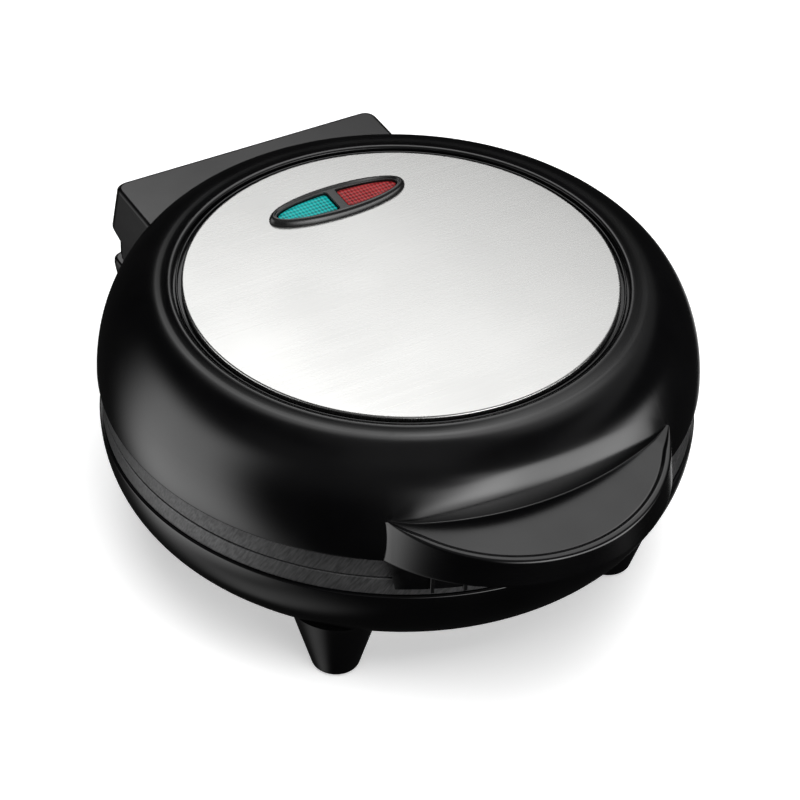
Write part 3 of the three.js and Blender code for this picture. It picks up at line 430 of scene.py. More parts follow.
def upright(outline, low, high):
    return capped([[(x, y, z) for x, y in outline] for z in (low, high)])


def sideways(outline, left, right):
    return capped([[(x, y, z) for y, z in outline] for x in (left, right)])


def ringed(outline_of, levels):
    """A stack of outlines, each given by its inset and level."""
    return capped([[(x, y, z) for x, y in outline_of(inset)] for inset, z in levels])


def shifted(part, x=0.0, y=0.0, turn=0.0):
    verts, faces = part
    matrix = Matrix.Translation((x, y, 0)) @ Matrix.Rotation(radians(turn), 4, "Z")
    return [tuple(matrix @ Vector(v)) for v in verts], faces


def joined(*parts):
    verts, faces = [], []
    for part_verts, part_faces in parts:
        start = len(verts)
        verts.extend(part_verts)
        faces.extend(tuple(i + start for i in face) for face in part_faces)
    return verts, faces


def placed(name, data):
    thing = bpy.data.objects.new(name, data)
    scene.collection.objects.link(thing)
    return thing


def mesh_object(name, part):
    verts, faces = part
    mesh = bpy.data.meshes.new(name)
    mesh.from_pydata([tuple(c * MM for c in v) for v in verts], [], faces)
    mesh.validate()
    piece = placed(name, mesh)
    select_only(piece)
    bpy.ops.object.mode_set(mode="EDIT")
    bpy.ops.mesh.select_all(action="SELECT")
    bpy.ops.mesh.remove_doubles(threshold=MERGE_DISTANCE)
    bpy.ops.mesh.normals_make_consistent(inside=False)
    bpy.ops.object.mode_set(mode="OBJECT")
    return piece


def select_only(piece):
    bpy.ops.object.select_all(action="DESELECT")
    piece.select_set(True)
    bpy.context.view_layer.objects.active = piece


def applied(piece, kind, **values):
    """Works one modifier into the mesh of a piece."""
    step = piece.modifiers.new("step", kind)
    for key, value in values.items():
        setattr(step, key, value)
    select_only(piece)
    bpy.ops.object.modifier_apply(modifier="step")
    return piece


def combine(piece, part, operation):
    tool = part if isinstance(part, bpy.types.Object) else mesh_object("tool", part)
    applied(piece, "BOOLEAN", operation=operation, solver="EXACT", object=tool)
    bpy.data.objects.remove(tool)
    return piece


def cut(piece, part):
    return combine(piece, part, "DIFFERENCE")


def merged(piece, *others):
    select_only(piece)
    for other in others:
        other.select_set(True)
    bpy.ops.object.join()
    return piece


def coat(piece, material):
    piece.data.materials.clear()
    piece.data.materials.append(material)


def finished(piece, material, body, slot, *nodes, sharp=SHARP_ANGLE):
    piece.data.shade_smooth()
    piece.data.set_sharp_from_angle(angle=radians(sharp))
    applied(piece, "WEIGHTED_NORMAL", keep_sharp=True)
    coat(piece, material)
    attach(piece, body)
    if nodes:
        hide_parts(*nodes)
    return piece


# Base shell


def bowl_section():
    """Outside and inside of the bowl as one closed (radius, height) profile."""
    centre = (BOWL_MIDDLE, BASE_RIM)
    outside = arc(centre, (BOWL_INSET, BOWL_DROP), -90, 0, BOWL_STEPS)
    flat = BOWL_MIDDLE - BOWL_BEVEL
    under = bend((flat - BOWL_BEVEL, FLOOR), (flat, FLOOR), outside[0], EDGE_STEPS)
    lip = [outside[-2], (BOWL_RADIUS, BASE_RIM), (BOWL_RADIUS - WALL, BASE_RIM)]
    inside = arc(centre, (BOWL_INSET - WALL, BOWL_DROP - WALL), 0, -90, SIDE_STEPS)
    side = outside[1:-2] + rounded(lip, [0, BASE_LIP_EDGE, 0]) + inside[1:]
    return [(0, FLOOR)] + under + side + [(0, FLOOR + WALL)]


def bowl_room():
    """The space inside the bowl, also used to trim what is joined to its outside."""
    half = WALL / 2
    side = arc((BOWL_MIDDLE, BASE_RIM), (BOWL_INSET - half, BOWL_DROP - half), -90, 0, SIDE_STEPS)
    top = [(PLATE_ROOM, BASE_RIM), (PLATE_ROOM, BOX_TOP), (0, BOX_TOP)]
    return turned([(0, FLOOR + WALL / 2)] + side[:-1] + top, BACK_STEPS)


def box_plan(reach, inset):
    """Plan of a box behind the round body, open round corners at its back."""
    half = HOUSING_HALF - inset
    corner = max(HOUSING_CORNER - inset, LEAST_CORNER)
    points = [(-half, BOX_FRONT), (-half, reach), (half, reach), (half, BOX_FRONT)]
    return rounded(points, [0, corner, corner, 0], ARC_STEPS)


def boxed(name, back, inset, edges):
    """A box along a back line of points (y, z), its bottom and top edges drawn in."""
    low_edge, high_edge = edges
    (low_reach, low), (high_reach, high) = back[0], back[-1]
    turn = quarter(EDGE_STEPS)[1:]
    rows = [(low_reach - low_edge * a, low + low_edge * b, inset + low_edge * a) for a, b in reversed(turn)]
    rows += [(y, z, inset) for y, z in back if low + low_edge <= z <= high - high_edge]
    rows += [(high_reach - high_edge * a, high - high_edge * b, inset + high_edge * a) for a, b in turn]
    rings = [[(x, y, z) for x, y in box_plan(reach, drawn)] for reach, z, drawn in rows]
    return mesh_object(name, capped(rings))


def housing_back(inset):
    """The back line of the housing, from its floor up to its lip."""
    start = (HOUSING_FLOOR_REACH - inset, FLOOR + inset)
    corner = (HOUSING_BEND[0] - inset, HOUSING_BEND[1] + inset)
    curve = bend(start, corner, (HOUSING_WAIST[0] - inset, HOUSING_WAIST[1]), HOUSING_STEPS)
    reach = HOUSING_REACH - inset
    top = HOUSING_LIP + (WALL if inset else 0)
    return curve + [(reach, HOUSING_LIP - HOUSING_LIP_DROP), (reach, top)]


def housing():
    piece = boxed("housing", housing_back(0), 0, (0, HOUSING_TOP_EDGE))
    room = boxed("housing_room", housing_back(WALL), WALL, (0, 0))
    cut(room, drum(PARTITION_RADIUS, BASE_RIM - PARTITION_DROP, BOX_TOP))
    cut(piece, room)
    cut(piece, bowl_room())
    ends = (HOUSING_FLOOR_REACH, HOUSING_REACH + WALL)
    bore = circle(INLET_RADIUS, BORE_STEPS)
    return cut(piece, capped([[(INLET_SIDE + x, y, INLET_LEVEL + z) for x, z in bore] for y in ends]))


def inlet_collar():
    """A short tube round the mains inlet, with a soft mouth."""
    ends = (COLLAR_FRONT, COLLAR_BACK)
    corners = [(INLET_RADIUS, ends[0]), (COLLAR_RADIUS, ends[0])]
    corners += [(COLLAR_RADIUS, ends[1]), (INLET_RADIUS, ends[1])]
    profile = rounded(corners, [0, 0, COLLAR_EDGE, INLET_EDGE], closed=True)
    rows = []
    for x, z in circle(1, COLLAR_STEPS):
        rows.append([(INLET_SIDE + r * x, y, INLET_LEVEL + r * z) for r, y in profile])
    return skin(rows, around=True, along=True)


def foot(x, y):
    """A tapered foot with a soft tip and a round recess for its pad."""
    turn = degrees(atan2(-x, y)) if y < 0 else 0
    span = FOOT_ROOT_LEVEL - FOOT_TIP_LEVEL

    def ring(level, inset):
        share = (level - FOOT_TIP_LEVEL) / span
        wide, deep = (FOOT_TIP_RADIUS + (root - FOOT_TIP_RADIUS) * share - inset for root in FOOT_ROOT)
        return [(wide * c, deep * s + FOOT_SHIFT * share, level) for c, s in circle(1, FOOT_STEPS)]

    recess = circle(PAD_RADIUS + SEAT_GAP, FOOT_STEPS)
    rows = [[(c, s, level) for c, s in recess] for level in (PAD_THICKNESS + SEAT_GAP, FOOT_TIP_LEVEL)]
    rows += [ring(FOOT_TIP_LEVEL + FOOT_EDGE * a, FOOT_EDGE * b) for a, b in quarter(EDGE_STEPS)]
    start = FOOT_TIP_LEVEL + FOOT_EDGE
    rise = FOOT_SUNK_LEVEL - FOOT_TIP_LEVEL - FOOT_EDGE
    rows += [ring(start + rise * i / ARC_STEPS, 0) for i in range(1, ARC_STEPS + 1)]
    return shifted(capped(rows), x, y, turn)


def foot_places():
    places = {}
    for side, word in ((-1, "left"), (1, "right")):
        places["front_" + word] = (side * FRONT_FOOT[0], FRONT_FOOT[1])
        places["rear_" + word] = (side * REAR_FOOT[0], REAR_FOOT[1])
    return places


def well(level, web, end, place):
    """A post with a bore for a plate screw, between a web and an end level."""
    wide = WELL_RADIUS + WELL_STEP
    inside = web + copysign(WELL_WEB, end - web)
    radii = (WELL_HOLE, WELL_RADIUS, WELL_RADIUS, wide, wide, WELL_BORE, WELL_BORE, WELL_HOLE)
    levels = (web, web, level, level, end, end, inside, inside)
    return shifted(turned(list(zip(radii, levels)), BORE_STEPS), *place)


def screw_places():
    turns = [radians(a) for a in SCREW_TURNS]
    return [(SCREW_CIRCLE * cos(t), SCREW_CIRCLE * sin(t)) for t in turns]


def screw_bores(low, high):
    bore = upright(circle(WELL_BORE, BORE_STEPS), low, high)
    return joined(*[shifted(bore, *place) for place in screw_places()])


def hinge_ring(outline, side, ends):
    """A hinge ear or knuckle: its side view made thick, with the pin's hole through it."""
    left, right = sorted(side * end for end in ends)
    piece = mesh_object("ear", sideways(outline, left, right))
    limit = radians(HINGE_SOFT_ANGLE)
    applied(piece, "BEVEL", width=HINGE_EDGE * MM, segments=2, limit_method="ANGLE", angle_limit=limit)
    hole = [(HINGE[0] + r, HINGE[1] + s) for r, s in circle(PIN_HOLE, HOLE_STEPS)]
    return cut(piece, sideways(hole, left - WALL, right + WALL))


def knuckle(side):
    y = HINGE[0]
    eye = arc(HINGE, (HINGE_RADIUS, HINGE_RADIUS), 0, 180, SIDE_STEPS)
    waist = HOUSING_WAIST[1]
    foot_end = [(y - HINGE_RADIUS, waist - KNUCKLE_DEPTH), (HOUSING_WAIST[0] - WALL / 2, waist)]
    outline = eye + foot_end + [(y + HINGE_RADIUS, HOUSING_LIP - HOUSING_LIP_DROP)]
    return hinge_ring(outline, side, KNUCKLE)


def vent_slots():
    slots = []
    for side in (-1, 1):
        for i in range(VENT_COUNT):
            y = (i - (VENT_COUNT - 1) / 2) * VENT_PITCH
            half = VENT_LENGTH / 2 - VENT_WIDTH / 2
            ends = arc((side * VENT_SIDE + half, y), (VENT_WIDTH / 2,) * 2, -90, 90, VENT_STEPS)
            ends += arc((side * VENT_SIDE - half, y), (VENT_WIDTH / 2,) * 2, 90, 270, VENT_STEPS)
            slots.append(upright(ends, FLOOR - WALL, FLOOR + 2 * WALL))
    return joined(*slots)


def base_shell(material):
    bowl = mesh_object("base_shell_look", turned(bowl_section()))
    cut(bowl, vent_slots())
    cut(bowl, screw_bores(FLOOR - WALL, FLOOR + 2 * WALL))
    wells = [well(LOWER_WELL_STEP, LOWER_WELL_WEB, FLOOR + WALL / 2, p) for p in screw_places()]
    feet = [foot(x, y) for x, y in foot_places().values()]
    rest = mesh_object("base_rest", joined(inlet_collar(), *wells, *feet))
    merged(bowl, housing(), rest, knuckle(-1), knuckle(1))
    return finished(bowl, material, "base", "black_plastic", "base_shell")


def foot_pads(material):
    corners = [(0, 0), (PAD_RADIUS, 0), (PAD_RADIUS, PAD_THICKNESS), (0, PAD_THICKNESS)]
    profile = rounded(corners, [0, PAD_EDGE, PAD_TOP_EDGE, 0])
    depths = (0, PAD_GROOVE_DEPTH, PAD_GROOVE_DEPTH, 0)
    groove = [(PAD_RADIUS * share, depth) for share, depth in zip(PAD_GROOVE_SHARES, depths)]
    profile = profile[:1] + groove + profile[1:]
    for name, (x, y) in foot_places().items():
        piece = mesh_object("foot_pad_look_" + name, shifted(turned(profile, PAD_STEPS), x, y))
        finished(piece, material, "base", "rubber", "foot_pad_" + name)


# Cooking plates


def half_moon(inset):
    flat = POCKET_BAR + inset
    radius = POCKET_RADIUS - inset
    corner = POCKET_CORNER
    reach = sqrt((radius - corner) ** 2 - (flat + corner) ** 2)
    angle = degrees(atan2(reach, flat + corner))
    low = arc((flat + corner, -reach), (corner, corner), 180, 360 - angle, CORNER_STEPS)
    round_side = arc((0, 0), (radius, radius), -angle, angle, HALF_OVAL_STEPS)[1:-1]
    high = arc((flat + corner, reach), (corner, corner), angle, 180, CORNER_STEPS)
    return low + round_side + high


def pocket_pair(depth, grown, sign, face, top):
    """Two half-moon pockets, or the tubs round them when grown by the plate's wall."""
    size = POCKET_FILLET + grown
    turn = reversed(quarter(ARC_STEPS))
    levels = [(POCKET_DRAFT - grown + size * a, size * b - depth - grown) for a, b in turn]
    if grown == 0:
        levels += bend((MOUTH_INSET, -MOUTH_DROP), (0, 0), (-MOUTH_SPREAD, 0), EDGE_STEPS)
    levels.append((-grown if grown > 0 else -MOUTH_SPREAD, top))
    one = ringed(half_moon, [(inset, face + sign * level) for inset, level in levels])
    return joined(one, shifted(one, turn=180))


def cooking_plate(name, face, sign, rim, depth, material, body):
    """A plate with its cooking face at one level and its body below or above it."""
    inner = PLATE_RADIUS - PLATE_RIM_WALL
    corners = [(0, -PLATE_LAND), (inner, -PLATE_LAND), (inner, -rim)]
    corners += [(PLATE_RADIUS, -rim), (PLATE_RADIUS, 0), (0, 0)]
    profile = rounded(corners, [0, PLATE_FILLET, PLATE_LIP_EDGE, PLATE_EDGE, PLATE_EDGE, 0])
    profile[-1:-1] = [(PLATE_RADIUS * share, 0) for share in PLATE_RING_SHARES]
    piece = mesh_object(name + "_look", turned([(r, face + sign * z) for r, z in profile]))
    combine(piece, pocket_pair(depth, PLATE_WALL, sign, face, -PLATE_LAND / 2), "UNION")
    cut(piece, pocket_pair(depth, 0, sign, face, PLATE_LAND))
    ends = sorted(face - sign * (depth + reach) for reach in (BOSS_SUNK, PLATE_WALL + BOSS_LENGTH))
    boss = upright(circle(BOSS_RADIUS, HOLE_STEPS), *ends)
    merged(piece, mesh_object("bosses", joined(*[shifted(boss, *place) for place in screw_places()])))
    return finished(piece, material, body, "cast_plate", name)


# Lid shell


def dome_point(angle, inner=False):
    """A point of the dome's outside or inside, from its edge at 0 to its shoulder at 90."""
    wall = WALL if inner else 0
    high = CEILING if inner else SHOULDER_LEVEL
    across = DOME_ACROSS - wall
    turn = radians(angle)
    return (SHOULDER_RADIUS + across * cos(turn), LID_EDGE + (high - LID_EDGE) * sin(turn))


def dome_angle(radius):
    share = (radius - SHOULDER_RADIUS) / DOME_ACROSS
    return degrees(acos(min(max(share, -1), 1)))


def dome_radius(level):
    share = min(max((level - LID_EDGE) / DOME_RISE, 0), 1)
    return SHOULDER_RADIUS + DOME_ACROSS * sqrt(1 - share * share)


def dome_slope(angle):
    """Rise of the dome's outside for each step outwards."""
    return -DOME_RISE * cos(radians(angle)) / (DOME_ACROSS * sin(radians(angle)))


def reach_of(delta, centre, radius):
    """Distance from the middle to an arc whose centre lies forwards or back of it."""
    along = centre * cos(radians(delta))
    return along + sqrt(max(along * along - centre * centre + radius * radius, 0))


def crown_part():
    """From the disc's seat out over the groove and the bead to the shoulder."""
    radii = (GROOVE_OUTER, GROOVE_OUTER + BEAD_TURN, BEAD_RADIUS, (SHOULDER_RADIUS + BEAD_RADIUS) / 2)
    rises = [-BEAD_DROP] + [BEAD_RISE * share for share in BEAD_SHARES]
    bead = [(radius, SHOULDER_LEVEL + rise) for radius, rise in zip(radii, rises)]
    low, high = RIDGE_RADIUS - RIDGE_HALF, RIDGE_RADIUS + RIDGE_HALF
    ridge = [(low, GROOVE_FLOOR), (low, RIDGE_LEVEL), (high, RIDGE_LEVEL), (high, GROOVE_FLOOR)]
    corners = [(SEAT_START, SEAT_LEVEL), (GROOVE_INNER, SEAT_LEVEL), (GROOVE_INNER, GROOVE_FLOOR)] + ridge
    corners += [(GROOVE_OUTER, GROOVE_FLOOR)] + bead + [(SHOULDER_RADIUS, SHOULDER_LEVEL)]
    return rounded(corners, CROWN_EDGES)


def handle_plane(radius, delta):
    y = -radius * cos(radians(delta))
    return HANDLE_TIP_LEVEL + HANDLE_SLOPE * (y - HANDLE_TIP_Y)


def crescent_corners(delta):
    """Corners of the scoop and the handle's top, from the top of the wall to the lip."""
    start = reach_of(delta, SCOOP_SHIFT, SCOOP_RADIUS)
    end = max(reach_of(delta, -HANDLE_CENTRE, HANDLE_RADIUS), start)
    width = end - start
    fade = min(width / FADE_WIDTH, 1)
    wall_top = dome_point(dome_angle(start - WALL_LEAN * fade / 2))
    base = start + WALL_LEAN * fade / 2
    level = min(handle_plane(base, delta), wall_top[1])
    lip = min(handle_plane(end, delta), dome_point(dome_angle(start))[1])
    sunk = TRAY_DEPTH * fade
    rim = end - LIP_WIDTH * min(width / LIP_FADE_WIDTH, 1)
    tray_end = min(handle_plane(rim, delta), wall_top[1])
    return [
        wall_top,
        (base, max(level - sunk, LID_EDGE)),
        (max(rim - TRAY_SIDE * fade, base), tray_end - sunk),
        (max(rim, base), tray_end),
        (end, lip),
    ]


def scooped_part(delta):
    """From the shoulder down the dome, the scoop, the handle's top and its outside."""
    wall_top, base, tray_end, rim, lip = crescent_corners(delta)
    height = max(wall_top[1] - base[1], 0)
    edge = min(SCOOP_EDGE, height * SCOOP_SHARE)
    begin = min(dome_angle(wall_top[0]) + degrees(edge / DOME_BEND), TOP_ANGLE)
    dome = [dome_point(90 + (begin - 90) * i / DOME_STEPS) for i in range(1, DOME_STEPS + 1)]
    fillet = min(SCOOP_FILLET, height * FILLET_SHARE)
    landing = (base[0], base[1] + fillet)
    level = dome[-1][1] + (base[0] - dome[-1][0]) * dome_slope(begin)
    wall = bend(dome[-1], (base[0], max(level, landing[1])), landing, 3 * EDGE_STEPS)[1:]
    edges = [0, fillet, TRAY_FILLET, TRAY_FILLET, 0]
    top = rounded([landing, base, tray_end, rim, lip], edges, LIP_STEPS)[1:-1]
    turn = bend(towards(lip, rim, LIP_EDGE), lip, towards(lip, (lip[0], LID_EDGE), LIP_EDGE), LIP_STEPS)
    turn = [(max(radius, dome_radius(z)), z) for radius, z in turn]
    return dome + wall + top + turn + flank(turn[-1], reach_of(delta, FLARE_CENTRE, FLARE_RADIUS))


def flank(start, foot):
    """The handle's outside, flared down to the lid's edge and never inside the dome."""
    points = []
    for i in range(1, FLANK_STEPS + 1):
        share = i / FLANK_STEPS
        level = start[1] + (LID_SIDE_START - start[1]) * share
        radius = start[0] + (foot - start[0]) * share
        points.append((max(radius, dome_radius(level)), level))
    return points


def plain_part(count):
    """The plain dome, with as many points as a scooped section, close together at the tip."""
    tip = dome_angle(reach_of(TIP_ANGLE, SCOOP_SHIFT, SCOOP_RADIUS))
    foot = degrees(asin((LID_SIDE_START - LID_EDGE) / DOME_RISE))
    middle = count - DOME_STEPS - FLANK_STEPS
    stops = [90, tip + PLAIN_SPREAD, tip - PLAIN_SPREAD, foot]
    points = []
    for start, end, steps in zip(stops, stops[1:], (DOME_STEPS, middle, FLANK_STEPS)):
        points += [dome_point(start + (end - start) * i / steps) for i in range(1, steps + 1)]
    return points


def under_part(delta, outer):
    """The lid's edge, the hollow under the handle, and the inside of the dome."""
    spread = outer - LID_RADIUS
    room = min(max(spread / SHELF_SPREAD, 0), 1)
    shelf = LID_EDGE + SHELF_RISE * room
    front = reach_of(delta, -HANDLE_CENTRE, HANDLE_RADIUS - WALL) if abs(delta) < TIP_ANGLE else 0
    guard = min(GUARD_RADIUS, outer - GUARD_COVER)
    far = max(front, guard)
    open_share = min(max((front - GUARD_RADIUS) / OPEN_SPREAD, 0), 1)
    under = handle_plane(outer, delta) - WALL - TRAY_DEPTH
    high = shelf + open_share * max(under - shelf, 0)
    near_top, near_shelf = (dome_radius(level) if room == 1 else guard for level in (high, shelf))
    end = (outer - LID_FOOT_EDGE / 2, LID_EDGE)
    edge = bend((outer, LID_SIDE_START), (outer, LID_EDGE), end, EDGE_STEPS)
    hollow = [(far, LID_EDGE), (far, high), (min(near_top, far), high), (min(near_shelf, far), shelf)]
    hollow += [(guard, shelf), (guard, LID_EDGE)]
    inside = [dome_point(90 * i / INSIDE_STEPS, True) for i in range(INSIDE_STEPS + 1)]
    bound = crescent_corners(delta)[1][0] - WALL if abs(delta) <= TIP_ANGLE else LID_RADIUS
    inside = [(min(radius, bound) if level > high else radius, level) for radius, level in inside]
    return edge[1:] + hollow + inside + [(SEAT_START, CEILING)]


def section_angles():
    """Angles from the front, close together where the crescent runs out."""
    fine = [TIP_ANGLE - i * TIP_STEP for i in range(TIP_STEPS)]
    span = fine[-1]
    middle = [-span + 2 * span * i / CRESCENT_STEPS for i in range(1, CRESCENT_STEPS)]
    plain = 360 - 2 * TIP_ANGLE - 2 * TIP_GAP
    rest = [TIP_ANGLE + TIP_GAP + plain * i / ROUND_STEPS for i in range(ROUND_STEPS + 1)]
    return [-a for a in fine] + middle + fine[::-1] + rest


def lid_section(delta):
    side = scooped_part(delta) if abs(delta) <= TIP_ANGLE else plain_part(len(scooped_part(0)))
    return crown_part() + side + under_part(delta, side[-1][0])


def dome_and_handle():
    """The lid's sections as one shell, closed over the middle inside and out."""
    rows = []
    for delta in section_angles():
        turn = radians(delta)
        rows.append([(r * sin(turn), -r * cos(turn), z) for r, z in lid_section(delta)])
    verts, faces = skin(rows, around=True)
    width = len(rows[0])
    faces.append(tuple(i * width for i in range(len(rows))))
    faces.append(tuple(i * width + width - 1 for i in range(len(rows) - 1, -1, -1)))
    return verts, faces


def lid_room():
    """The space inside the dome, also used to trim what is joined to its outside."""
    side = [dome_point(90 * i / LID_ROOM_STEPS, True) for i in range(LID_ROOM_STEPS + 1)]
    side = [(r + WALL / 2, z) for r, z in side]
    low = BOX_BOTTOM - WALL
    return turned([(0, low), (side[0][0], low)] + side + [(0, CEILING)], BACK_STEPS)


def box_back(inset):
    """The back line of the box over the hinge, from its skirt up to its top."""
    corners = [
        (BOX_SKIRT - inset, BOX_BOTTOM - (WALL if inset else 0)),
        (BOX_NOTCH - inset, BOX_NOTCH_LOW),
        (BOX_NOTCH - inset, BOX_NOTCH_HIGH + inset),
        (BOX_REACH - inset, BOX_STEP + inset),
        (BOX_CROWN - inset, BOX_TOP - inset),
    ]
    return rounded(corners, [0, BOX_NOTCH_EDGE, BOX_NOTCH_EDGE, BOX_KNEE_EDGE, 0])


def hinge_box():
    piece = boxed("hinge_box", box_back(0), 0, (BOX_LOW_EDGE, BOX_EDGE))
    room = boxed("box_room", box_back(WALL), WALL, (0, 0))
    cut(room, drum(LID_RADIUS, BOX_STEP, BOX_SHELF))
    cut(piece, room)
    cut(piece, lid_room())
    cut(piece, drum(PLATE_RADIUS + BOX_PLATE_GAP, 0, LID_EDGE))
    half, back = HOUSING_HALF - WALL, BOX_REACH + BOX_CUT_PAST
    knee = HINGE[1] + HINGE_RADIUS + HINGE_GAP
    outline = [(-half, PLATE_RADIUS), (half, PLATE_RADIUS), (half, back), (-half, back)]
    return cut(piece, upright(outline, 0, knee))


def lid_ear(side):
    y = HINGE[0]
    past = degrees(acos((BOX_NOTCH - y) / HINGE_RADIUS))
    eye = arc(HINGE, (HINGE_RADIUS, HINGE_RADIUS), 180, 360 + past, EAR_STEPS)
    top = BOX_TOP - WALL / 2
    return hinge_ring(eye + [(BOX_NOTCH, top), (y - 2 * HINGE_RADIUS, top)], side, EAR)


def guard_point(radius, level, share):
    """A point of the guard, tucked under the handle's outside where that is nearer."""
    lean = min((level - GUARD_LOW) / (LID_EDGE - GUARD_LOW), 1) * GUARD_SLANT
    delta = share * (GUARD_ANGLE + lean)
    cover = reach_of(delta, FLARE_CENTRE, FLARE_RADIUS) - GUARD_TUCK
    radius = min(radius, max(cover, GUARD_RADIUS - GUARD_WALL + GUARD_TUCK))
    turn = radians(delta)
    return (radius * sin(turn), -radius * cos(turn), level)


def guard_ribs():
    front, back, half = GUARD_RADIUS + RIB_DEPTH, GUARD_RADIUS - GUARD_WALL / 2, RIB_WIDTH / 2
    corners = [(-half, -front), (half, -front), (half, -back), (-half, -back)]
    rib = upright(rounded(corners, RIB_EDGES, RIB_EDGE_STEPS, True), GUARD_LOW, RIB_TOP)
    return [shifted(rib, turn=(i - (RIB_COUNT - 1) / 2) * RIB_PITCH) for i in range(RIB_COUNT)]


def guard():
    """A part of a ring whose ends lean in, with ribs on its front."""
    inner = GUARD_RADIUS - GUARD_WALL
    corners = [(inner, GUARD_LOW), (GUARD_RADIUS, GUARD_LOW), (GUARD_RADIUS, GUARD_TOP), (inner, GUARD_TOP)]
    profile = rounded(corners, GUARD_EDGES, closed=True)
    shares = [2 * i / GUARD_STEPS - 1 for i in range(GUARD_STEPS + 1)]
    rows = [[guard_point(radius, level, share) for radius, level in profile] for share in shares]
    return joined(capped(rows), *guard_ribs())


def frame_oval(inset):
    return [(a * (FRAME_HALF[0] - inset), b * (FRAME_HALF[1] - inset)) for a, b in circle(1, OVAL_STEPS)]


def window_hole(low, high):
    """The way of the frame's flange through the lid and the disc."""
    return shifted(upright(frame_oval(FRAME_FLANGE - SEAT_GAP), low, high), *WINDOW)


def lid_shell(material):
    dome = mesh_object("lid_shell_look", dome_and_handle())
    cut(dome, window_hole(CEILING - WALL, SEAT_LEVEL + WALL))
    cut(dome, screw_bores(CEILING - WALL, SEAT_LEVEL + WALL))
    wells = [well(UPPER_WELL_STEP, UPPER_WELL_WEB, CEILING + WALL / 2, p) for p in screw_places()]
    rest = mesh_object("lid_rest", joined(guard(), *wells))
    merged(dome, hinge_box(), rest, lid_ear(-1), lid_ear(1))
    return finished(dome, material, "lid", "black_plastic", "lid_shell", sharp=LID_SHARP_ANGLE)


# Steel disc


def steel_disc(material):
    outer = DISC_RADIUS - SEAT_GAP
    under = DISC_RIM_LEVEL - DISC_SHEET
    flat = outer - DISC_SHEET
    shares = [i / DISC_STEPS for i in range(DISC_STEPS + 1)]
    crown = [(flat * share, DISC_CROWN * (1 - share**2)) for share in shares]
    top = [(r, DISC_RIM_LEVEL + z) for r, z in reversed(crown)]
    bottom = [(r, under + z) for r, z in crown]
    edge = [(outer - DISC_SHEET / 2, under - DISC_EDGE_DROP), (outer, under - DISC_EDGE_DROP)]
    turn = bend((outer, DISC_RIM_LEVEL - DISC_SHEET), (outer, DISC_RIM_LEVEL), top[0], ARC_STEPS)
    piece = mesh_object("steel_disc_look", turned(bottom + edge + turn + top[1:]))
    cut(piece, window_hole(CEILING, FRAME_TOP + WALL))
    return finished(piece, material, "lid", "brushed_steel", "steel_disc")


# Indicator frame and lenses


def window_shape(inset):
    """Half an oval with its flat side along the bar and rounded corners there."""
    edge = BAR_WIDTH / 2 + inset
    corner = edge + WINDOW_CORNER
    across, up = (half - FRAME_RIM - inset for half in FRAME_HALF)
    start = acos(corner / across)
    rise = up * sin(start)
    points = arc((0, 0), (across, up), -degrees(start), degrees(start), HALF_OVAL_STEPS)
    points += bend((corner, rise), (edge, rise), (edge, rise - WINDOW_CORNER), ARC_STEPS)[1:]
    points += bend((edge, WINDOW_CORNER - rise), (edge, -rise), (corner, -rise), ARC_STEPS)[:-1]
    return points


def indicator_frame(material):
    crest = [(inset, FRAME_TOP) for inset in FRAME_CREST]
    low, high = FRAME_SEAT + FRAME_EDGE, FRAME_TOP - FRAME_EDGE / 2
    sides = [(0, FRAME_SEAT)] + bend((0, low), (FRAME_EDGE, high), crest[0], ARC_STEPS)
    sides += [crest[1], (FRAME_RIM - 2 * FRAME_EDGE, BAR_LEVEL)]
    piece = mesh_object("indicator_frame_look", ringed(frame_oval, sides))
    combine(piece, ringed(frame_oval, [(FRAME_FLANGE, FRAME_LOW), (FRAME_FLANGE, BAR_LEVEL)]), "UNION")
    ledge = FRAME_TOP - LENS_RECESS - LENS_THICKNESS - SEAT_GAP
    mouth = bend((0, BAR_LEVEL - FRAME_EDGE), (0, BAR_LEVEL), (-FRAME_EDGE, BAR_LEVEL), MOUTH_STEPS)
    mouth = [(0, ledge)] + mouth + [(-FRAME_EDGE, FRAME_TOP + WALL)]
    through = [(LENS_LEDGE, FRAME_LOW - WALL), (LENS_LEDGE, ledge + SEAT_GAP)]
    for levels in (mouth, through):
        hole = ringed(window_shape, levels)
        cut(piece, joined(hole, shifted(hole, turn=180)))
    piece.data.transform(Matrix.Translation(Vector((*WINDOW, 0)) * MM))
    return finished(piece, material, "lid", "frame_plastic", "indicator_frame", sharp=FRAME_SHARP_ANGLE)


def lens(name, turn, material, slot):
    high = FRAME_TOP - LENS_RECESS
    rows = [(SEAT_GAP, high - LENS_THICKNESS)]
    for i in range(LENS_STEPS + 1):
        share = i / LENS_STEPS
        inset = SEAT_GAP + LENS_CROWN_WIDTH * share * share
        rows.append((inset, high - LENS_CROWN * (1 - share) ** 2))
    part = shifted(ringed(window_shape, rows), turn=turn)
    piece = mesh_object(name + "_look", shifted(part, *WINDOW))
    return finished(piece, material, "lid", slot, name)


# Materials


def grey(level):
    return (level, level, level)


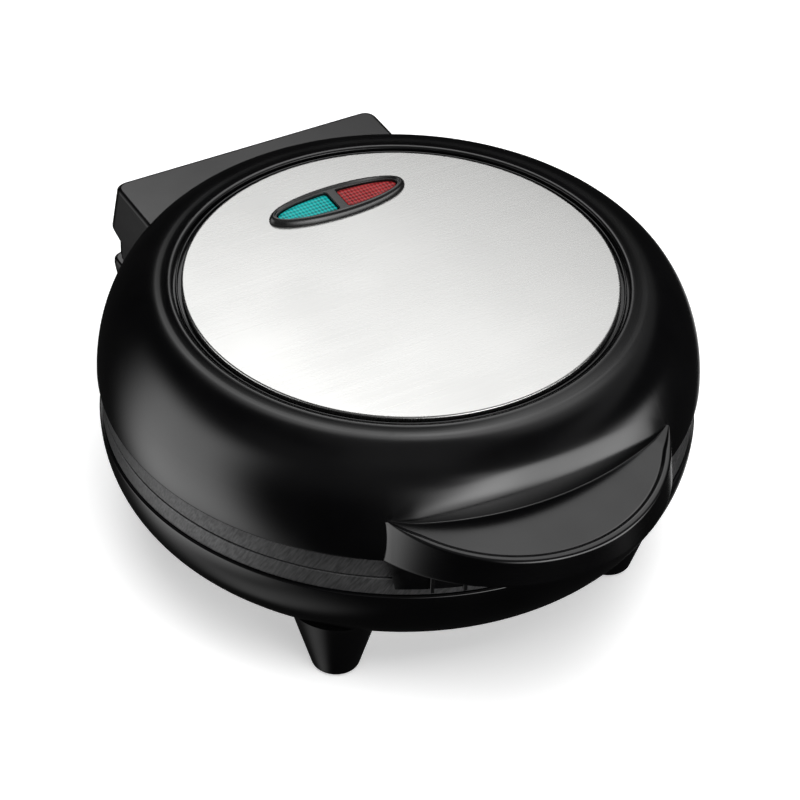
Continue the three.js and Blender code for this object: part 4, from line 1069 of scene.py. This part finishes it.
class Tree:
    """A tree of shader nodes, built in the order in which they feed each other."""

    def __init__(self, owner, bare=True):
        owner.use_nodes = True
        self.tree = owner.node_tree
        if bare:
            self.tree.nodes.clear()

    def feed(self, node, sources):
        """Gives sockets of a node a value of their own, or the output of another node."""
        for key, source in sources.items():
            if isinstance(source, bpy.types.NodeSocket):
                self.tree.links.new(source, node.inputs[key])
            else:
                node.inputs[key].default_value = source

    def add(self, kind, sources=None, **settings):
        node = self.tree.nodes.new(kind)
        for key, value in settings.items():
            setattr(node, key, value)
        self.feed(node, sources or {})
        return node

    def maths(self, operation, *sources):
        return self.add("ShaderNodeMath", dict(enumerate(sources)), operation=operation).outputs[0]

    def end(self, kind, shown, others):
        """Ends the tree with one shader for the camera's rays and one for all others."""
        path = self.add("ShaderNodeLightPath").outputs["Is Camera Ray"]
        sources = {0: path, 1: others.outputs[0], 2: shown.outputs[0]}
        self.add(kind, {0: self.add("ShaderNodeMixShader", sources).outputs[0]})


class Nodes(Tree):
    """The nodes of one material of the object."""

    def __init__(self, name):
        self.material = bpy.data.materials.new(name)
        super().__init__(self.material, bare=False)
        self.shader = self.tree.nodes["Principled BSDF"]
        self.place = self.add("ShaderNodeTexCoord").outputs["Object"]

    def noise(self, scale, detail=3, stretch=(1, 1, 1), turn=(0, 0, 0)):
        """Noise over the piece; the scale is in features per millimetre."""
        sources = {
            "Vector": self.place,
            "Scale": [MM / scale / share for share in stretch],
            "Rotation": [radians(angle) for angle in turn],
        }
        place = self.add("ShaderNodeMapping", sources, vector_type="TEXTURE").outputs["Vector"]
        node = self.add("ShaderNodeTexNoise", {"Vector": place, "Scale": 1, "Detail": detail})
        return node.outputs["Fac"]

    def ranged(self, source, low, high, start=0.3, end=0.7):
        limits = {"From Min": start, "From Max": end, "To Min": low, "To Max": high}
        return self.add("ShaderNodeMapRange", {"Value": source, **limits}).outputs["Result"]

    def mixed(self, share, *colours):
        first, second = ((*c, 1) if isinstance(c, tuple) else c for c in colours)
        node = self.add("ShaderNodeMix", {"Factor": share, 6: first, 7: second}, data_type="RGBA")
        return node.outputs[2]

    def bump(self, height, strength, depth, normal=None):
        sources = {"Height": height, "Strength": strength, "Distance": depth * MM}
        if normal:
            sources["Normal"] = normal
        return self.add("ShaderNodeBump", sources).outputs["Normal"]

    def worn(self, start=0.52, end=0.6):
        """Share of wear along edges, broken up by noise."""
        edges = self.add("ShaderNodeNewGeometry").outputs["Pointiness"]
        edges = self.ranged(edges, 0, 1, start, end)
        return self.maths("MULTIPLY", edges, self.ranged(self.noise(0.35), 0.25, 1))

    def set(self, colour, roughness, normal, **values):
        sources = {"Base Color": colour, "Roughness": roughness, "Normal": normal}
        sources.update((key.replace("_", " "), value) for key, value in values.items())
        self.feed(self.shader, sources)
        return self.material


def moulded(name, colours, roughness, peel, grain, wear):
    """Moulded plastic: faint mottling, handling marks, orange peel and rubbed edges.

    The peel and the grain are each given by scale, strength and depth.
    """
    dark, light, rubbed = colours
    nodes = Nodes(name)
    colour = nodes.mixed(nodes.ranged(nodes.noise(0.05), 0, 1), dark, light)
    colour = nodes.mixed(nodes.worn(*wear), colour, rubbed)
    rough = nodes.ranged(nodes.noise(0.03, 5), *roughness)
    normal = nodes.bump(nodes.noise(peel[0], 1), *peel[1:])
    return nodes.set(colour, rough, nodes.bump(nodes.noise(grain[0], 2), *grain[1:], normal))


def brushed_steel():
    nodes = Nodes("brushed_steel")
    streaks = nodes.noise(1, 4, (0.012, 3.2, 1))
    fine = nodes.noise(1, 2, (0.05, 9, 1))
    clouds = nodes.noise(0.02, 2)
    colour = nodes.mixed(nodes.ranged(streaks, 0, 1), (0.58, 0.58, 0.57), (0.63, 0.63, 0.62))
    colour = nodes.mixed(nodes.ranged(fine, 0, 0.4), colour, (0.68, 0.68, 0.67))
    rough = nodes.maths("ADD", nodes.ranged(streaks, 0.25, 0.29), nodes.ranged(clouds, -0.02, 0.02))
    normal = nodes.bump(streaks, 0.04, 0.02)
    normal = nodes.bump(fine, 0.04, 0.01, normal)
    return nodes.set(colour, rough, normal, Metallic=1.0)


def bare_metal(name, dark, light, roughness, stretch=(1, 1, 1)):
    """Plain metal: drawing marks, dull patches and brighter rubbed edges."""
    nodes = Nodes(name)
    marks = nodes.noise(1.2, 3, stretch)
    colour = nodes.mixed(nodes.ranged(nodes.noise(0.12, 4), 0, 1), dark, light)
    colour = nodes.mixed(nodes.worn(), colour, tuple(min(c * 1.4, 0.9) for c in light))
    rough = nodes.ranged(nodes.noise(0.2, 4), roughness[0], roughness[1])
    return nodes.set(colour, rough, nodes.bump(marks, 0.15, 0.03), Metallic=1.0)


def cast_plate():
    """Cast plate with a dark non-stick coat: fine diagonal grain, specks and worn edges."""
    nodes = Nodes("cast_plate")
    grain = nodes.noise(1, 2, (1.7, 1.7, 0.2), (20.7, 22.2, 0))
    patches = nodes.ranged(nodes.noise(0.15, 5), 0, 0.4)
    colour = nodes.mixed(patches, (0.038, 0.038, 0.039), (0.06, 0.06, 0.061))
    colour = nodes.mixed(nodes.ranged(grain, 0, 0.8), colour, (0.11, 0.11, 0.111))
    colour = nodes.mixed(nodes.worn(), colour, (0.16, 0.16, 0.16))
    rough = nodes.ranged(nodes.noise(0.5, 3), 0.36, 0.5)
    normal = nodes.bump(grain, 0.35, 0.05)
    return nodes.set(colour, rough, nodes.bump(nodes.noise(3, 2), 0.12, 0.02, normal), Metallic=0.5)


def lens_plastic(name, dark, light):
    """Coloured clear plastic over a field of small prisms, with painted light and shade: each prism's top
    is painted lighter and the hollows between them darker.
    """
    nodes = Nodes(name)
    axes = nodes.add("ShaderNodeSeparateXYZ", {"Vector": nodes.place})
    waves = []
    for sign in (1, -1):
        along = nodes.maths("MULTIPLY", axes.outputs["X"], sign * PRISM_SHARES[0] * PRISM_COUNT / MM)
        across = nodes.maths("MULTIPLY", axes.outputs["Y"], PRISM_SHARES[1] * PRISM_COUNT / MM)
        waves.append(nodes.maths("SINE", nodes.maths("ADD", along, across)))
    prisms = nodes.maths("MULTIPLY", *waves)
    # Painted light and shade: the colour follows the prism relief, lighter on each prism's top and darker
    # in the hollows.
    colour = nodes.mixed(nodes.ranged(prisms, 0, 1, -0.35, 0.35), dark, light)
    bright = tuple(min(c * 1.6, 1) for c in light)
    colour = nodes.mixed(nodes.ranged(nodes.noise(0.1, 2), 0, 0.25), colour, bright)
    rough = nodes.ranged(nodes.noise(0.4), 0.08, 0.18)
    normal = nodes.bump(prisms, 0.2, 0.12)
    return nodes.set(colour, rough, normal, Specular_IOR_Level=0.12)


def matte(name, dark, light, roughness, scale, grain):
    """Rubber, ceramic and other dull stuff: mottled colour over a fine grain."""
    nodes = Nodes(name)
    colour = nodes.mixed(nodes.ranged(nodes.noise(scale, 5), 0, 1), dark, light)
    colour = nodes.mixed(nodes.worn(), colour, tuple(min(c * 1.5 + 0.01, 1) for c in light))
    rough = nodes.ranged(nodes.noise(scale * 3, 3), roughness[0], roughness[1])
    return nodes.set(colour, rough, nodes.bump(nodes.noise(3, 3), grain, 0.05))


def lamp_glass():
    nodes = Nodes("lamp_glass")
    colour = nodes.mixed(nodes.ranged(nodes.noise(0.3, 2), 0, 1), (0.75, 0.66, 0.52), (0.86, 0.8, 0.7))
    rough = nodes.ranged(nodes.noise(0.5, 2), 0.04, 0.12)
    return nodes.set(colour, rough, nodes.bump(nodes.noise(0.6, 1), 0.1, 0.05), Transmission_Weight=0.4)


def dressed(material, *names):
    """Gives carried-over CAD pieces a finished material."""
    for name in names:
        coat(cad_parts[name], material)


# Camera, floor and light


def way(side, rise):
    """A direction from its angle round from the front and its angle above the floor."""
    side, rise = radians(side), radians(rise)
    return (sin(side) * cos(rise), -cos(side) * cos(rise), sin(rise))


def facing(side, rise, roll):
    """The directions across, up and out, at a side and a rise, rolled about the way out."""
    out = Vector(way(side, rise))
    across = Matrix.Rotation(radians(roll), 3, out) @ Vector(way(side + 90, 0))
    return across, out.cross(across), out


def camera():
    data = bpy.data.cameras.new("view_camera")
    data.sensor_width = CAMERA_SENSOR
    data.lens = CAMERA_LENS
    data.clip_start, data.clip_end = CAMERA_CLIP
    turn = Matrix(facing(*CAMERA_TURN)).transposed().to_4x4()
    scene.camera = placed("view_camera", data)
    scene.camera.matrix_world = Matrix.Translation(Vector(CAMERA_PLACE) * MM) @ turn


def floor():
    """A floor that looks white, keeps the shadow and throws little light back up."""
    mesh = bpy.data.meshes.new("studio_floor")
    corners = [(x * FLOOR_REACH, y * FLOOR_REACH, 0) for x, y in ((-1, -1), (1, -1), (1, 1), (-1, 1))]
    mesh.from_pydata(corners, [], [(0, 1, 2, 3)])
    piece = placed("studio_floor", mesh)
    material = bpy.data.materials.new("studio_floor")
    tree = Tree(material)
    lit = tree.add("ShaderNodeBsdfDiffuse", {"Color": (*grey(FLOOR_LIT), 1)})
    own = tree.add("ShaderNodeEmission", {"Strength": FLOOR_GLOW})
    both = tree.add("ShaderNodeAddShader", {0: lit.outputs[0], 1: own.outputs[0]})
    dull = tree.add("ShaderNodeBsdfDiffuse", {"Color": (*grey(FLOOR_DULL), 1)})
    tree.end("ShaderNodeOutputMaterial", both, dull)
    mesh.materials.append(material)
    piece.visible_glossy = False


def studio():
    """A dark room with soft panels of light that the gloss reflects."""
    world = bpy.data.worlds.new("studio")
    scene.world = world
    tree = Tree(world)
    look = tree.add("ShaderNodeTexCoord").outputs["Generated"]

    def along(direction):
        node = tree.add("ShaderNodeVectorMath", {0: look, 1: direction}, operation="DOT_PRODUCT")
        return node.outputs["Value"]

    def fall(direction, span, sharpness):
        share = tree.maths("DIVIDE", along(direction), sin(radians(span)))
        return tree.maths("POWER", tree.maths("ABSOLUTE", share), sharpness)

    total = ROOM_LIGHT
    for side, rise, roll, spans, sharpness, strength in PANELS:
        *lines, out = facing(side, rise, -roll)
        away = tree.maths("ADD", *[fall(*line) for line in zip(lines, spans, sharpness)])
        glow = tree.maths("EXPONENT", tree.maths("MULTIPLY", away, -1))
        glow = tree.maths("MULTIPLY", glow, tree.maths("GREATER_THAN", along(out), 0))
        total = tree.maths("ADD", total, tree.maths("MULTIPLY", glow, strength))
    light = tree.add("ShaderNodeBackground", {"Strength": total})
    tree.end("ShaderNodeOutputWorld", tree.add("ShaderNodeBackground"), light)


def overhead():
    """A large soft lamp that lights the colours and the floor, and leaves the gloss alone."""
    data = bpy.data.lights.new("overhead", "AREA")
    data.shape = "RECTANGLE"
    data.size, data.size_y = LAMP_SIZE
    data.energy = LAMP_POWER
    lamp = placed("overhead", data)
    place = Vector(LAMP_PLACE)
    lamp.matrix_world = Matrix.Translation(place) @ (-place).to_track_quat("-Z", "Y").to_matrix().to_4x4()
    lamp.visible_glossy = False
    lamp.visible_camera = False


# Assembly

camera()
floor()
studio()
overhead()
scene.view_settings.view_transform = "Standard"

plastic = moulded(
    "black_plastic",
    colours=((0.001, 0.001, 0.0012), (0.002, 0.002, 0.0022), grey(0.012)),
    roughness=(0.16, 0.24),
    peel=(0.12, 0.04, 0.06),
    grain=(5, 0.06, 0.01),
    wear=(0.54, 0.64),
)
frame_plastic = moulded(
    "frame_plastic",
    colours=(grey(0.006), grey(0.012), grey(0.036)),
    roughness=(0.15, 0.25),
    peel=(0.25, 0.05, 0.05),
    grain=(4, 0.1, 0.01),
    wear=(0.52, 0.6),
)
plate_coat = cast_plate()
base_shell(plastic)
foot_pads(matte("rubber", grey(0.012), grey(0.03), (0.7, 0.85), 0.4, 0.4))
lid_shell(plastic)
cooking_plate("lower_plate", LOWER_FACE, 1, LOWER_RIM, LOWER_POCKET, plate_coat, "base")
cooking_plate("upper_plate", UPPER_FACE, -1, UPPER_RIM, UPPER_POCKET, plate_coat, "lid")
steel_disc(brushed_steel())
indicator_frame(frame_plastic)
green = lens_plastic("green_plastic", (0.0, 0.08, 0.08), (0.008, 0.35, 0.34))
red = lens_plastic("red_plastic", (0.06, 0.002, 0.003), (0.29, 0.026, 0.028))
lens("green_lens", 180, green, "green_plastic")
lens("red_lens", 0, red, "red_plastic")

steel = bare_metal("steel", (0.42, 0.42, 0.43), (0.56, 0.56, 0.57), (0.28, 0.42))
dark_steel = bare_metal("element_steel", (0.14, 0.13, 0.12), (0.26, 0.24, 0.21), (0.4, 0.6))
sheet = bare_metal("sheet_aluminium", (0.5, 0.51, 0.52), (0.66, 0.67, 0.68), (0.3, 0.45), (1, 0.1, 1))
ceramic = matte("ceramic", (0.62, 0.58, 0.5), (0.78, 0.75, 0.68), (0.5, 0.7), 0.3, 0.2)
holder = matte("holder_plastic", (0.6, 0.58, 0.52), (0.7, 0.68, 0.62), (0.4, 0.55), 0.2, 0.1)
screws = [plate + "_plate_screw_" + str(i) for plate in ("lower", "upper") for i in range(1, 5)]
dressed(steel, "hinge_pin_left", "hinge_pin_right", *screws)
dressed(dark_steel, "lower_heating_element", "upper_heating_element", "thermal_fuse")
dressed(sheet, "lower_reflector", "upper_reflector")
dressed(ceramic, "terminal_block", "thermostat")
dressed(holder, "lamp_holder")
dressed(lamp_glass(), "green_lamp", "red_lamp")
